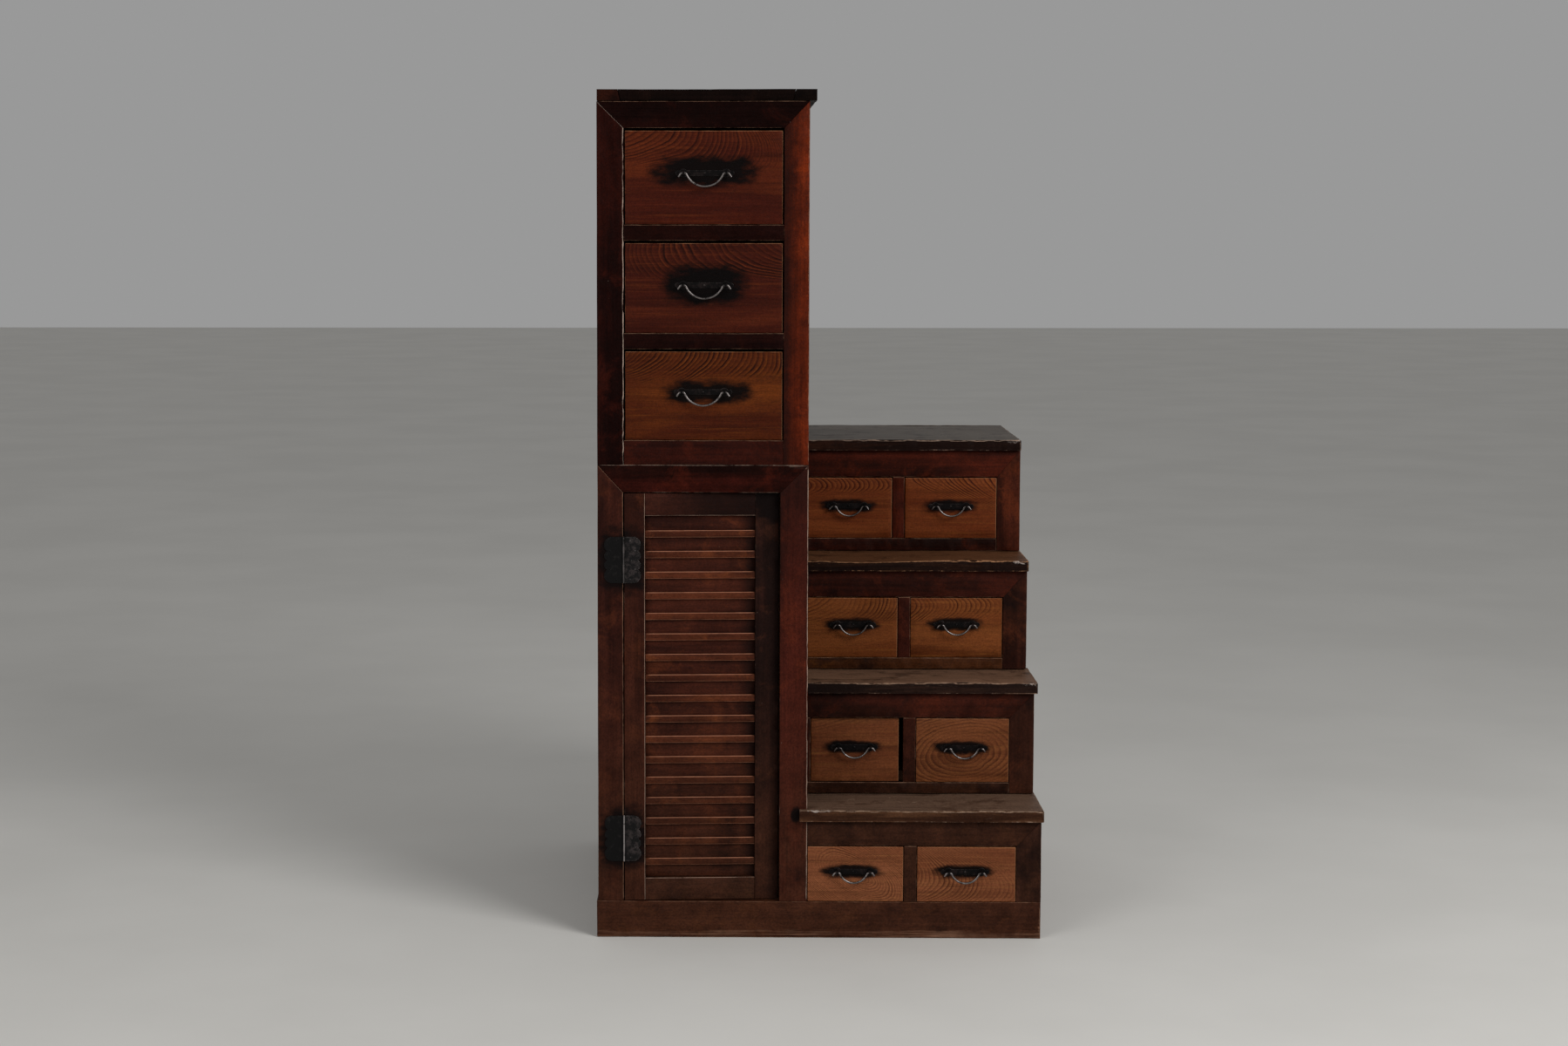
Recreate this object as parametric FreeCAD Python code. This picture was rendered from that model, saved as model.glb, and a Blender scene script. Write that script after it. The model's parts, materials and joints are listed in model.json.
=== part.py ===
import FreeCAD, Part
import math
import os
from collections import namedtuple

# A step chest of two stacked tower cases beside four rising steps.
# Millimetres. X runs to the right, Y to the back, Z up, and the drawers open towards -Y.
# The origin is the middle of the whole chest's footprint, handles and treads counted, on the floor.

# Whole chest
WIDTH = 920.0  # front base rail, end to end
TOWER_WIDTH = 433.0  # front frames of the tower, side to side
TOWER_INSET = 3.0  # the base rail shows beyond the tower's left side
DEPTH = 850.0  # front frame to back planks
TREAD_RUN = 150.0  # each step stands this far behind the one below it
BASE_HEIGHT = 77.0
LOWER_CASE_HEIGHT = 909.0
UPPER_CASE_HEIGHT = 739.5
TOP_BOARD_THICK = 24.5
TOP_BOARD_OVERHANG = 15.0  # past the tower's right side

# Boards
FRAME_THICK = 22.0  # front frames and the base rails
SIDE_THICK = 18.0  # side boards and the partition
BACK_THICK = 10.0
FLOOR_THICK = 12.0  # floors, dust boards and the ceiling of the cupboard
SHELF_THICK = 14.0
CLEAT_SIDE = 16.0  # strips under the shelf
PLANK_HEIGHT = 260.0  # about the height of one back plank
SEAM = 0.3  # between pieces that are laid, not glued, and at a slide
EASE = 1.2  # planed off the front arrises

# Upper case front frame
UPPER_LEFT_STILE = 55.0
UPPER_RIGHT_STILE = 52.0
UPPER_TOP_RAIL = 54.5
UPPER_MID_RAIL = 32.5
UPPER_BOTTOM_RAIL = 50.5
UPPER_OPENING_SHARES = (0.3424, 0.3301, 0.3275)  # top, middle and bottom drawer

# Lower case front frame
LOWER_LEFT_STILE = 53.0
LOWER_RIGHT_STILE = 58.0
LOWER_TOP_RAIL = 57.0

# Steps, lowest first
TOP_TREAD_LIFT = 16.0  # the top tread lies this far above the tower's seam
TREAD_RISE_SHARES = (0.2715, 0.2405, 0.2395, 0.2485)  # of the height to the top tread
STEP_TOP_RAILS = (53.0, 54.0, 58.0, 60.0)
STEP_BOTTOM_RAILS = (0.0, 24.0, 25.0, 28.0)  # the base rail carries the first step
DIVIDER_SHARES = (0.463, 0.480, 0.474, 0.466)  # divider's left edge across the opening
LEFT_STRIPS = (0.0, 11.0, 0.0, 0.0)  # filler against the tower
STEP_STILE = 51.5
DIVIDER_WIDTH = 26.5
TREAD_THICK = 24.5
TREAD_NOSE = 13.0  # the tread stands proud of the frame under it
TREAD_EAR = 16.5  # the lowest nosing runs on across the tower's stile
TREAD_OVERHANG = 6.0  # past the right side
TREAD_OVERHANG_SHARES = (0.6, 1.0, 0.3, 0.0)
TREAD_EASE = 3.0

# Drawers
FRONT_THICK = 18.0
BOX_SIDE_THICK = 10.0
BOX_BOTTOM_THICK = 7.0
BOX_SIDE_DROP = 9.0  # the sides are lower than the front
BOX_BACK_DROP = 12.0  # the back is lower than the sides
LONGEST_DRAWER = 520.0
DRAWER_TRAVEL_SHARE = 0.72
UPPER_SIDE_GAP = 2.5
UPPER_TOP_GAP = 5.0
UPPER_SETBACK = 4.0
STEP_SIDE_GAP = 1.0
STEP_TOP_GAP = 1.8
STEP_LEFT_SETBACKS = (1.5, 7.0, 1.5, 1.5)
STEP_RIGHT_SETBACKS = (1.5, 2.0, 4.0, -1.5)
LEFT_DRAWER_SLACKS = (0.0, 8.0, 0.0, 0.0)  # the second step's left drawer is narrow for its hole
GUIDE_HEIGHT = 20.0
STOP_DEPTH = 16.0
STOP_SHARE = 0.3  # the stop block's width across the drawer

# Handles: a bail hung in two posts on an iron plate
WIRE_RADIUS = 2.1
EYE_CLEARANCE = 0.3
POST_WIDTH = 5.0
POST_RADIUS = 4.4
STANDOFF = 13.0  # from the drawer's face to the bail's axis
BEND_CLEARANCE = 0.4
BEND_RADIUS = 3.5
TAIL_TURN = 55.0  # degrees
UPWARD = 90.0  # directions in the bail's plane, in degrees
DOWNWARD = -90.0
HALF_TURN = 180.0
PLATE_THICK = 1.5
PLATE_HEIGHT = 11.0
PLATE_LOBE_RADIUS = 8.5
PLATE_TIP_RADIUS = 5.0
PLATE_TIP_REACH = 11.0  # from the post to the tip's centre
NAIL_RADIUS = 3.0
NAIL_HEIGHT = 1.4
NAIL_TOP_SHARE = 0.5
UPPER_POST_SPACING = 87.0
UPPER_BAIL_DROP = 27.0
UPPER_TAIL = 8.0
STEP_POST_SPACING = 68.0
STEP_BAIL_DROP = 21.0
STEP_TAIL = 6.0
UPPER_HANDLE_SHARES = (0.535, 0.52, 0.53)  # height of the posts up each opening
STEP_HANDLE_SHARES = (0.54, 0.535, 0.545, 0.525)
UPPER_HANDLE_SHIFTS = (2.0, 1.0, -1.5)  # to the right of each front's middle
LEFT_HANDLE_SHIFTS = (-4.5, -1.0, 5.0, 4.0)
RIGHT_HANDLE_SHIFTS = (-3.0, 3.5, 0.5, 0.5)

# Slatted door, hung on the left and turned in at rest until it meets its stop
DOOR_THICK = 22.0
DOOR_SIDE_GAP = 2.0
DOOR_TOP_GAP = 1.5
DOOR_BOTTOM_GAP = 1.3
DOOR_REST_TURN = 3.0  # degrees
DOOR_LEFT_STILE = 43.0
DOOR_RIGHT_STILE = 48.0
DOOR_RAIL = 47.0
PANEL_THICK = 6.0
PANEL_RECESS = 11.0  # from the door's face to the panel's
BATTEN_COUNT = 17
BATTEN_HEIGHT = 14.6
BATTEN_RECESS = 3.0
BATTEN_FIRST_SHARE = 0.040  # top arris of the first batten, down the door's opening
BATTEN_LAST_SHARE = 0.946
BATTEN_EASE = 0.8
STOP_STRIP_THICK = 15.0
STOP_STRIP_LAP = 12.0
SHELF_HEIGHT_SHARE = 0.52
SHELF_SETBACK = 70.0  # leaves room for the door that stands turned in

# Hinges
HINGE_HEIGHT = 95.0
HINGE_UPPER_SHARE = 0.838  # hinge centres up the door
HINGE_LOWER_SHARE = 0.154
CASE_LEAF_WIDTH = 40.0
DOOR_LEAF_WIDTH = 35.0
LEAF_THICK = 1.5
KNUCKLE_RADIUS = 2.5
KNUCKLE_COUNT = 5
KNUCKLE_GAP = 0.3
KNUCKLE_LIFT = 2.8  # the pin's axis stands in front of the frame
PIN_RADIUS = 1.2
PIN_CLEARANCE = 0.05
PIN_HEAD_RADIUS = 2.2
PIN_HEAD_HEIGHT = 1.0
LOBE_SHARES = (0.0, 0.29, 0.49, 0.69, 1.0)
NOTCH_DEPTH = 6.0
CORNER_DEPTH = 13.0
LEAF_NAIL_RADIUS = 1.8
LEAF_NAIL_HEIGHT = 0.8
LEAF_NAIL_SHARES = ((0.38, 0.08), (0.66, 0.30), (0.46, 0.49), (0.68, 0.70), (0.38, 0.92))

Span = namedtuple("Span", "low high")
Handle = namedtuple("Handle", "spacing drop tail")
Drawer = namedtuple("Drawer", "name across height face length handle pivot shift gap")

UPPER_HANDLE = Handle(UPPER_POST_SPACING, UPPER_BAIL_DROP, UPPER_TAIL)
STEP_HANDLE = Handle(STEP_POST_SPACING, STEP_BAIL_DROP, STEP_TAIL)

# Places that follow from the sizes
STEP_COUNT = len(TREAD_RISE_SHARES)
TOP_RUN = DEPTH - TREAD_RUN * (STEP_COUNT - 1)
HANDLE_REACH = STANDOFF + POST_RADIUS - min(STEP_LEFT_SETBACKS[0], STEP_RIGHT_SETBACKS[0])
SIDE_REACH = TREAD_OVERHANG * max(TREAD_OVERHANG_SHARES)
FRONT = (HANDLE_REACH - DEPTH) / 2
BACK = FRONT + DEPTH
LEFT = -(WIDTH + SIDE_REACH) / 2
RIGHT = LEFT + WIDTH
TOWER = Span(LEFT + TOWER_INSET, LEFT + TOWER_INSET + TOWER_WIDTH)
FRAME_BACK = FRONT + FRAME_THICK
BACK_INNER = BACK - BACK_THICK
SEAM_HEIGHT = BASE_HEIGHT + LOWER_CASE_HEIGHT
CASE_TOP = SEAM_HEIGHT + UPPER_CASE_HEIGHT
UPPER_OPENING = Span(TOWER.low + UPPER_LEFT_STILE, TOWER.high - UPPER_RIGHT_STILE)
LOWER_OPENING = Span(TOWER.low + LOWER_LEFT_STILE, TOWER.high - LOWER_RIGHT_STILE)
DOOR_OPENING_TOP = SEAM_HEIGHT - LOWER_TOP_RAIL
STEPS_HEIGHT = SEAM_HEIGHT + TOP_TREAD_LIFT
TREAD_TOPS = tuple(STEPS_HEIGHT * sum(TREAD_RISE_SHARES[:step + 1]) for step in range(STEP_COUNT))
STEP_INNER = RIGHT - STEP_STILE
STEP_WALL = RIGHT - SIDE_THICK
HINGE_X = LOWER_OPENING.low + DOOR_SIDE_GAP / 2
HINGE_Y = FRONT - KNUCKLE_LIFT
LEAF_START = KNUCKLE_RADIUS + KNUCKLE_GAP


def board(across, along, height):
    """A plain board between two places on each axis."""
    size = [span[1] - span[0] for span in (across, along, height)]
    return Part.makeBox(*size, FreeCAD.Vector(across[0], along[0], height[0]))


def eased_board(across, along, height, ease=EASE):
    """A board whose front arrises are planed off."""
    shape = board(across, along, height)
    front = [edge for edge in shape.Edges
             if all(abs(vertex.Y - along[0]) < ease / 2 for vertex in edge.Vertexes)]
    return shape.makeChamfer(ease, front)


def prism(outline, start, thick):
    """A flat piece in the front plane, from an (x, z) outline pushed back along Y."""
    points = [FreeCAD.Vector(x, start, z) for x, z in outline]
    face = Part.Face(Part.makePolygon(points + points[:1]))
    return face.extrude(FreeCAD.Vector(0, thick, 0))


def turned(shape, degrees):
    """The shape turned about the door's hinge pin, the free edge going inwards."""
    copy = shape.copy()
    copy.rotate(FreeCAD.Vector(HINGE_X, HINGE_Y, 0), FreeCAD.Vector(0, 0, 1), degrees)
    return copy


def save(node, solids):
    """Write the solids of one sub-part."""
    Part.makeCompound(solids).exportStep(os.path.join("parts", node + ".step"))


# Tower

def upper_openings():
    """Floor and ceiling of the three upper drawer openings, top one first."""
    free = UPPER_CASE_HEIGHT - UPPER_TOP_RAIL - UPPER_BOTTOM_RAIL - 2 * UPPER_MID_RAIL
    ceiling = CASE_TOP - UPPER_TOP_RAIL
    spans = []
    for share in UPPER_OPENING_SHARES:
        floor = ceiling - free * share / sum(UPPER_OPENING_SHARES)
        spans.append(Span(floor, ceiling))
        ceiling = floor - UPPER_MID_RAIL
    return spans


def mitred_frame(outer, inner, height, top_rail, start):
    """Two stiles and a top rail that meet in mitres from corner to corner."""
    low, high = height
    rail = [(outer.low, high), (outer.high, high), (inner.high, high - top_rail),
            (inner.low, high - top_rail)]
    left = [(outer.low, low), (inner.low, low), (inner.low, high - top_rail), (outer.low, high)]
    right = [(inner.high, low), (outer.high, low), (outer.high, high), (inner.high, high - top_rail)]
    return [prism(outline, start, FRAME_THICK) for outline in (rail, left, right)]


def upper_top_board():
    """The board on top of the tower."""
    across = (TOWER.low, TOWER.high + TOP_BOARD_OVERHANG)
    return [eased_board(across, (FRONT, BACK), (CASE_TOP, CASE_TOP + TOP_BOARD_THICK))]


def upper_front_frame():
    """Mitred stiles and top rail, with the rails between and under the drawers."""
    pieces = mitred_frame(TOWER, UPPER_OPENING, (SEAM_HEIGHT, CASE_TOP), UPPER_TOP_RAIL, FRONT)
    openings = upper_openings()
    for above, below in zip(openings, openings[1:]):
        pieces.append(board(UPPER_OPENING, (FRONT, FRAME_BACK), (below.high, above.low)))
    bottom = (SEAM_HEIGHT, openings[-1].low)
    pieces.append(board(UPPER_OPENING, (FRONT, FRAME_BACK), bottom))
    return pieces


def side_boards(height):
    """The left and right side board of one tower case, behind its front frame."""
    walls = ((TOWER.low, TOWER.low + SIDE_THICK), (TOWER.high - SIDE_THICK, TOWER.high))
    return [board(across, (FRAME_BACK, BACK), height) for across in walls]


def lower_front_frame():
    """Mitred stiles and top rail round the door; the stiles stand on the base rail."""
    height = (BASE_HEIGHT, SEAM_HEIGHT)
    return mitred_frame(TOWER, LOWER_OPENING, height, LOWER_TOP_RAIL, FRONT)


def base_rails():
    """The rails that stand on the floor: front, back, two sides and one under the partition."""
    height = (0, BASE_HEIGHT)
    along = (FRAME_BACK, BACK - FRAME_THICK)
    middle = TOWER.high - SIDE_THICK / 2
    return [
        eased_board((LEFT, RIGHT), (FRONT, FRAME_BACK), height),
        board((LEFT, RIGHT), (BACK - FRAME_THICK, BACK), height),
        board((LEFT, LEFT + FRAME_THICK), along, height),
        board((RIGHT - FRAME_THICK, RIGHT), along, height),
        board((middle - FRAME_THICK / 2, middle + FRAME_THICK / 2), along, height),
    ]


def door_stop_front():
    """Where the turned door's back meets the stop strip."""
    reach = LOWER_OPENING.high - DOOR_SIDE_GAP - HINGE_X
    turn = math.radians(DOOR_REST_TURN)
    back = KNUCKLE_LIFT + DOOR_THICK
    return HINGE_Y + reach * math.sin(turn) + back * math.cos(turn) + SEAM


def shelf_height():
    """Top of the cupboard's shelf."""
    return BASE_HEIGHT + LOWER_CASE_HEIGHT * SHELF_HEIGHT_SHARE


def cupboard_boards():
    """Floor, ceiling, shelf on two cleats, and the strip that stops the door."""
    inner = Span(TOWER.low + SIDE_THICK, TOWER.high - SIDE_THICK)
    middle = TOWER.high - SIDE_THICK / 2
    floor_across = (LEFT + FRAME_THICK, middle - FRAME_THICK / 2)
    shelf_top = shelf_height()
    shelf_low = shelf_top - SHELF_THICK
    shelf_along = (FRONT + SHELF_SETBACK, BACK_INNER)
    pieces = [
        board(floor_across, (FRAME_BACK, BACK - FRAME_THICK), (BASE_HEIGHT - FLOOR_THICK, BASE_HEIGHT)),
        board(inner, (FRAME_BACK, BACK_INNER), (SEAM_HEIGHT - FLOOR_THICK, SEAM_HEIGHT)),
        board(inner, shelf_along, (shelf_low, shelf_top)),
    ]
    for start in (inner.low, inner.high - CLEAT_SIDE):
        pieces.append(board((start, start + CLEAT_SIDE), shelf_along, (shelf_low - CLEAT_SIDE, shelf_low)))
    stop_front = door_stop_front()
    pieces.append(board((LOWER_OPENING.high - STOP_STRIP_LAP, inner.high),
                        (stop_front, stop_front + STOP_STRIP_THICK),
                        (BASE_HEIGHT, SEAM_HEIGHT - FLOOR_THICK)))
    return pieces


def planks(across, height):
    """Back planks of about one height, edge to edge."""
    low, high = height
    count = max(1, round((high - low) / PLANK_HEIGHT))
    step = (high - low) / count
    return [board(across, (BACK_INNER, BACK), (low + step * i, low + step * (i + 1))) for i in range(count)]


def back_boards():
    """Back planks of the lower case, the upper case and the steps, between their side boards."""
    tower = (TOWER.low + SIDE_THICK, TOWER.high - SIDE_THICK)
    pieces = planks(tower, (BASE_HEIGHT, SEAM_HEIGHT))
    pieces += planks(tower, (SEAM_HEIGHT, CASE_TOP))
    pieces += planks((TOWER.high, STEP_WALL), (BASE_HEIGHT, TREAD_TOPS[-1] - TREAD_THICK))
    return pieces


# Steps

def step_front(step):
    """The front plane of a step's frame."""
    return FRONT + TREAD_RUN * step


def step_span(step):
    """Floor and ceiling of a step's drawer opening."""
    ceiling = TREAD_TOPS[step] - TREAD_THICK - STEP_TOP_RAILS[step]
    if step == 0:
        return Span(BASE_HEIGHT, ceiling)
    return Span(TREAD_TOPS[step - 1] + STEP_BOTTOM_RAILS[step], ceiling)


def divider_across(step):
    """Left and right edge of a step's divider."""
    left = TOWER.high + (STEP_INNER - TOWER.high) * DIVIDER_SHARES[step]
    return Span(left, left + DIVIDER_WIDTH)


def step_treads():
    """The four treads; the lowest one's nosing runs on in front of the tower's stile."""
    pieces = []
    for step, top in enumerate(TREAD_TOPS):
        front = step_front(step)
        last = step == len(TREAD_TOPS) - 1
        end = BACK if last else step_front(step + 1) + FRAME_THICK
        across = (TOWER.high, RIGHT + TREAD_OVERHANG * TREAD_OVERHANG_SHARES[step])
        height = (top - TREAD_THICK, top)
        if step == 0:
            nose = eased_board((TOWER.high - TREAD_EAR, across[1]), (front - TREAD_NOSE, front),
                               height, TREAD_EASE)
            pieces.append(nose.fuse(board(across, (front, end), height)).removeSplitter())
        else:
            pieces.append(eased_board(across, (front - TREAD_NOSE, end), height, TREAD_EASE))
    return pieces


def step_front_frames():
    """Each step's top rail mitred to its right stile, its divider, bottom rail and filler strip."""
    pieces = []
    for step, top in enumerate(TREAD_TOPS):
        front = step_front(step)
        along = (front, front + FRAME_THICK)
        floor, ceiling = step_span(step)
        high = top - TREAD_THICK
        low = BASE_HEIGHT if step == 0 else TREAD_TOPS[step - 1]
        rail = [(TOWER.high, high), (RIGHT, high), (STEP_INNER, ceiling), (TOWER.high, ceiling)]
        stile = [(STEP_INNER, low), (RIGHT, low), (RIGHT, high), (STEP_INNER, ceiling)]
        pieces += [prism(outline, front, FRAME_THICK) for outline in (rail, stile)]
        pieces.append(board(divider_across(step), along, (floor, ceiling)))
        if STEP_BOTTOM_RAILS[step] > 0:
            pieces.append(board((TOWER.high, STEP_INNER), along, (low, floor)))
        if LEFT_STRIPS[step] > 0:
            pieces.append(board((TOWER.high, TOWER.high + LEFT_STRIPS[step]), along, (floor, ceiling)))
    return pieces


def step_side_boards():
    """The right side: one board for each step, stacked, each starting behind its frame."""
    pieces = []
    low = BASE_HEIGHT
    for step, top in enumerate(TREAD_TOPS):
        high = top - TREAD_THICK
        pieces.append(board((STEP_WALL, RIGHT), (step_front(step) + FRAME_THICK, BACK), (low, high)))
        low = high
    return pieces


# Drawers

def all_drawers():
    """Every drawer with its place, its length and its handle."""
    drawers = []
    names = ("top", "middle", "bottom")
    rows = zip(names, UPPER_HANDLE_SHARES, UPPER_HANDLE_SHIFTS, upper_openings())
    for name, share, shift, span in rows:
        across = Span(UPPER_OPENING.low + UPPER_SIDE_GAP, UPPER_OPENING.high - UPPER_SIDE_GAP)
        height = Span(span.low + SEAM, span.high - UPPER_TOP_GAP)
        pivot = span.low + (span.high - span.low) * share
        face = FRONT + UPPER_SETBACK
        drawers.append(Drawer("upper_drawer_" + name, across, height, face, drawer_length(face),
                              UPPER_HANDLE, pivot, shift, UPPER_SIDE_GAP))
    for step, share in enumerate(STEP_HANDLE_SHARES):
        span = step_span(step)
        divider = divider_across(step)
        height = Span(span.low + SEAM, span.high - STEP_TOP_GAP)
        pivot = span.low + (span.high - span.low) * share
        left = Span(TOWER.high + LEFT_STRIPS[step], divider.low - LEFT_DRAWER_SLACKS[step])
        right = Span(divider.high, STEP_INNER)
        halves = (("left", left, STEP_LEFT_SETBACKS, LEFT_HANDLE_SHIFTS),
                  ("right", right, STEP_RIGHT_SETBACKS, RIGHT_HANDLE_SHIFTS))
        for side, opening, setbacks, shifts in halves:
            across = Span(opening.low + STEP_SIDE_GAP, opening.high - STEP_SIDE_GAP)
            face = step_front(step) + setbacks[step]
            name = "step_{}_{}_drawer".format(step + 1, side)
            drawers.append(Drawer(name, across, height, face, drawer_length(face),
                                  STEP_HANDLE, pivot, shifts[step], STEP_SIDE_GAP))
    return drawers


def drawer_length(face):
    """From the drawer's face to its back, short of the stop and the back planks."""
    return min(LONGEST_DRAWER, BACK_INNER - STOP_DEPTH - SEAM - face)


def drawer_front(drawer):
    """The hardwood front."""
    return [eased_board(drawer.across, (drawer.face, drawer.face + FRONT_THICK), drawer.height)]


def drawer_box(drawer):
    """Two sides, a back and a bottom board behind the front."""
    left, right = drawer.across
    start = drawer.face + FRONT_THICK
    end = drawer.face + drawer.length
    low = drawer.height.low
    floor = low + BOX_BOTTOM_THICK
    side_top = drawer.height.high - BOX_SIDE_DROP
    back_across = (left + BOX_SIDE_THICK, right - BOX_SIDE_THICK)
    return [
        board(drawer.across, (start, end), (low, floor)),
        board((left, left + BOX_SIDE_THICK), (start, end), (floor, side_top)),
        board((right - BOX_SIDE_THICK, right), (start, end), (floor, side_top)),
        board(back_across, (end - BOX_SIDE_THICK, end), (floor, side_top - BOX_BACK_DROP)),
    ]


def arc(centre, radius, start, middle, end):
    """An arc in the bail's plane through three directions in degrees."""
    points = []
    for angle in (start, middle, end):
        turn = math.radians(angle)
        points.append(FreeCAD.Vector(centre[0] + radius * math.cos(turn), 0,
                                     centre[1] + radius * math.sin(turn)))
    return Part.Arc(*points).toShape()


def half_bail(handle):
    """Half of the bail's centre line, from its lowest point out to the tail's tip."""
    pin_in = handle.spacing / 2 - POST_WIDTH / 2 - BEND_CLEARANCE
    pin_out = handle.spacing / 2 + POST_WIDTH / 2 + BEND_CLEARANCE
    grip = (pin_in ** 2 / handle.drop + handle.drop) / 2 - BEND_RADIUS
    centre = grip - handle.drop
    lean = math.degrees(math.atan2(centre + BEND_RADIUS, -pin_in))
    grip_end = lean - HALF_TURN
    edges = [
        arc((0, centre), grip, DOWNWARD, (DOWNWARD + grip_end) / 2, grip_end),
        arc((pin_in, -BEND_RADIUS), BEND_RADIUS, lean, (lean + UPWARD) / 2, UPWARD),
        Part.LineSegment(FreeCAD.Vector(pin_in, 0, 0), FreeCAD.Vector(pin_out, 0, 0)).toShape(),
        arc((pin_out, -BEND_RADIUS), BEND_RADIUS, UPWARD, UPWARD - TAIL_TURN / 2, UPWARD - TAIL_TURN),
    ]
    turn = math.radians(UPWARD - TAIL_TURN)
    start = FreeCAD.Vector(pin_out + BEND_RADIUS * math.cos(turn), 0, BEND_RADIUS * (math.sin(turn) - 1))
    run = FreeCAD.Vector(math.sin(turn), 0, -math.cos(turn)) * handle.tail
    edges.append(Part.LineSegment(start, start + run).toShape())
    return edges


def bail_shape(handle):
    """The forged rod: a sagging grip, level pins at the posts and tails turned down outside them."""
    path = Part.Wire(half_bail(handle))
    profile = Part.Wire(Part.makeCircle(WIRE_RADIUS, FreeCAD.Vector(0, 0, -handle.drop),
                                        FreeCAD.Vector(1, 0, 0)))
    half = path.makePipeShell([profile], True, False)
    other = half.mirror(FreeCAD.Vector(0, 0, 0), FreeCAD.Vector(1, 0, 0))
    return half.fuse(other).removeSplitter()


def pivot_point(drawer):
    """The middle of the bail's axis."""
    middle = (drawer.across.low + drawer.across.high) / 2
    return FreeCAD.Vector(middle + drawer.shift, drawer.face - STANDOFF, drawer.pivot)


def drawer_bail(drawer, shape):
    """The drawer's bail, hanging from its posts."""
    copy = shape.copy()
    copy.translate(pivot_point(drawer))
    return [copy]


def nail_head(point, radius, height):
    """A low round head standing out towards the front."""
    return Part.makeCone(radius, radius * NAIL_TOP_SHARE, height, point, FreeCAD.Vector(0, -1, 0))


def drawer_posts(drawer):
    """The back plate with its lobed ends, two eyed posts and the nail in the middle."""
    pivot = pivot_point(drawer)
    plate_front = drawer.face - PLATE_THICK
    half = drawer.handle.spacing / 2
    out = FreeCAD.Vector(0, 1, 0)
    plate = board((pivot.x - half, pivot.x + half), (plate_front, drawer.face),
                  (pivot.z - PLATE_HEIGHT / 2, pivot.z + PLATE_HEIGHT / 2))
    pieces = []
    for side in (-1, 1):
        at_post = FreeCAD.Vector(pivot.x + side * half, plate_front, pivot.z)
        at_tip = at_post + FreeCAD.Vector(side * PLATE_TIP_REACH, 0, 0)
        plate = plate.fuse([Part.makeCylinder(PLATE_LOBE_RADIUS, PLATE_THICK, at_post, out),
                            Part.makeCylinder(PLATE_TIP_RADIUS, PLATE_THICK, at_tip, out)])
        pieces.append(post(FreeCAD.Vector(at_post.x, pivot.y, pivot.z), plate_front))
    pieces.insert(0, plate.removeSplitter())
    middle = FreeCAD.Vector(pivot.x, plate_front, pivot.z)
    pieces.append(nail_head(middle, NAIL_RADIUS, NAIL_HEIGHT))
    return pieces


def post(eye, base):
    """A flat post with a round nose, bored across for the bail's pin."""
    across = (eye.x - POST_WIDTH / 2, eye.x + POST_WIDTH / 2)
    side = FreeCAD.Vector(1, 0, 0)
    start = FreeCAD.Vector(across[0], eye.y, eye.z)
    body = board(across, (eye.y, base), (eye.z - POST_RADIUS, eye.z + POST_RADIUS))
    nose = Part.makeCylinder(POST_RADIUS, POST_WIDTH, start, side)
    bore = Part.makeCylinder(WIRE_RADIUS + EYE_CLEARANCE, POST_WIDTH, start, side)
    return body.fuse(nose).removeSplitter().cut(bore)


def guides(drawers, walls, along):
    """Strips beside a row of drawers, from each wall or divider to the drawer's running gap."""
    floor = drawers[0].height.low - SEAM
    height = (floor, floor + GUIDE_HEIGHT)
    edges = [walls.low]
    for drawer in drawers:
        edges += [drawer.across.low - drawer.gap, drawer.across.high + drawer.gap]
    edges.append(walls.high)
    spans = zip(edges[::2], edges[1::2])
    return [board(span, along, height) for span in spans if span[1] - span[0] > SEAM]


def stop_block(drawer):
    """The block on the floor that the closed drawer's back meets."""
    middle = (drawer.across.low + drawer.across.high) / 2
    half = (drawer.across.high - drawer.across.low) * STOP_SHARE / 2
    start = drawer.face + drawer.length + SEAM
    floor = drawer.height.low - SEAM
    return board((middle - half, middle + half), (start, start + STOP_DEPTH), (floor, floor + GUIDE_HEIGHT))


def drawer_floors(drawers):
    """Dust boards under every row of drawers, with the side guides and the stop blocks on them."""
    upper = drawers[:len(UPPER_OPENING_SHARES)]
    lower = drawers[len(UPPER_OPENING_SHARES):]
    walls = Span(TOWER.low + SIDE_THICK, TOWER.high - SIDE_THICK)
    rows = [([drawer], walls, FRAME_BACK, walls, BACK_INNER) for drawer in upper]
    for step in range(len(TREAD_TOPS)):
        row = lower[2 * step:2 * step + 2]
        run = Span(TOWER.high, STEP_WALL)
        if step == 0:
            middle = TOWER.high - SIDE_THICK / 2
            across = Span(middle + FRAME_THICK / 2, RIGHT - FRAME_THICK)
            rows.append((row, run, FRAME_BACK, across, BACK - FRAME_THICK))
        else:
            rows.append((row, run, step_front(step) + FRAME_THICK, run, BACK_INNER))
    pieces = []
    for row, run, start, across, end in rows:
        top = row[0].height.low - SEAM
        pieces.append(board(across, (start, end), (top - FLOOR_THICK, top)))
        pieces += guides(row, run, (start, row[0].face + row[0].length))
        pieces += [stop_block(drawer) for drawer in row]
    return pieces


# Door

def door_opening():
    """The hole inside the door's frame, before it is turned."""
    across = Span(LOWER_OPENING.low + DOOR_SIDE_GAP + DOOR_LEFT_STILE,
                  LOWER_OPENING.high - DOOR_SIDE_GAP - DOOR_RIGHT_STILE)
    height = Span(BASE_HEIGHT + DOOR_BOTTOM_GAP + DOOR_RAIL, DOOR_OPENING_TOP - DOOR_TOP_GAP - DOOR_RAIL)
    return across, height


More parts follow.
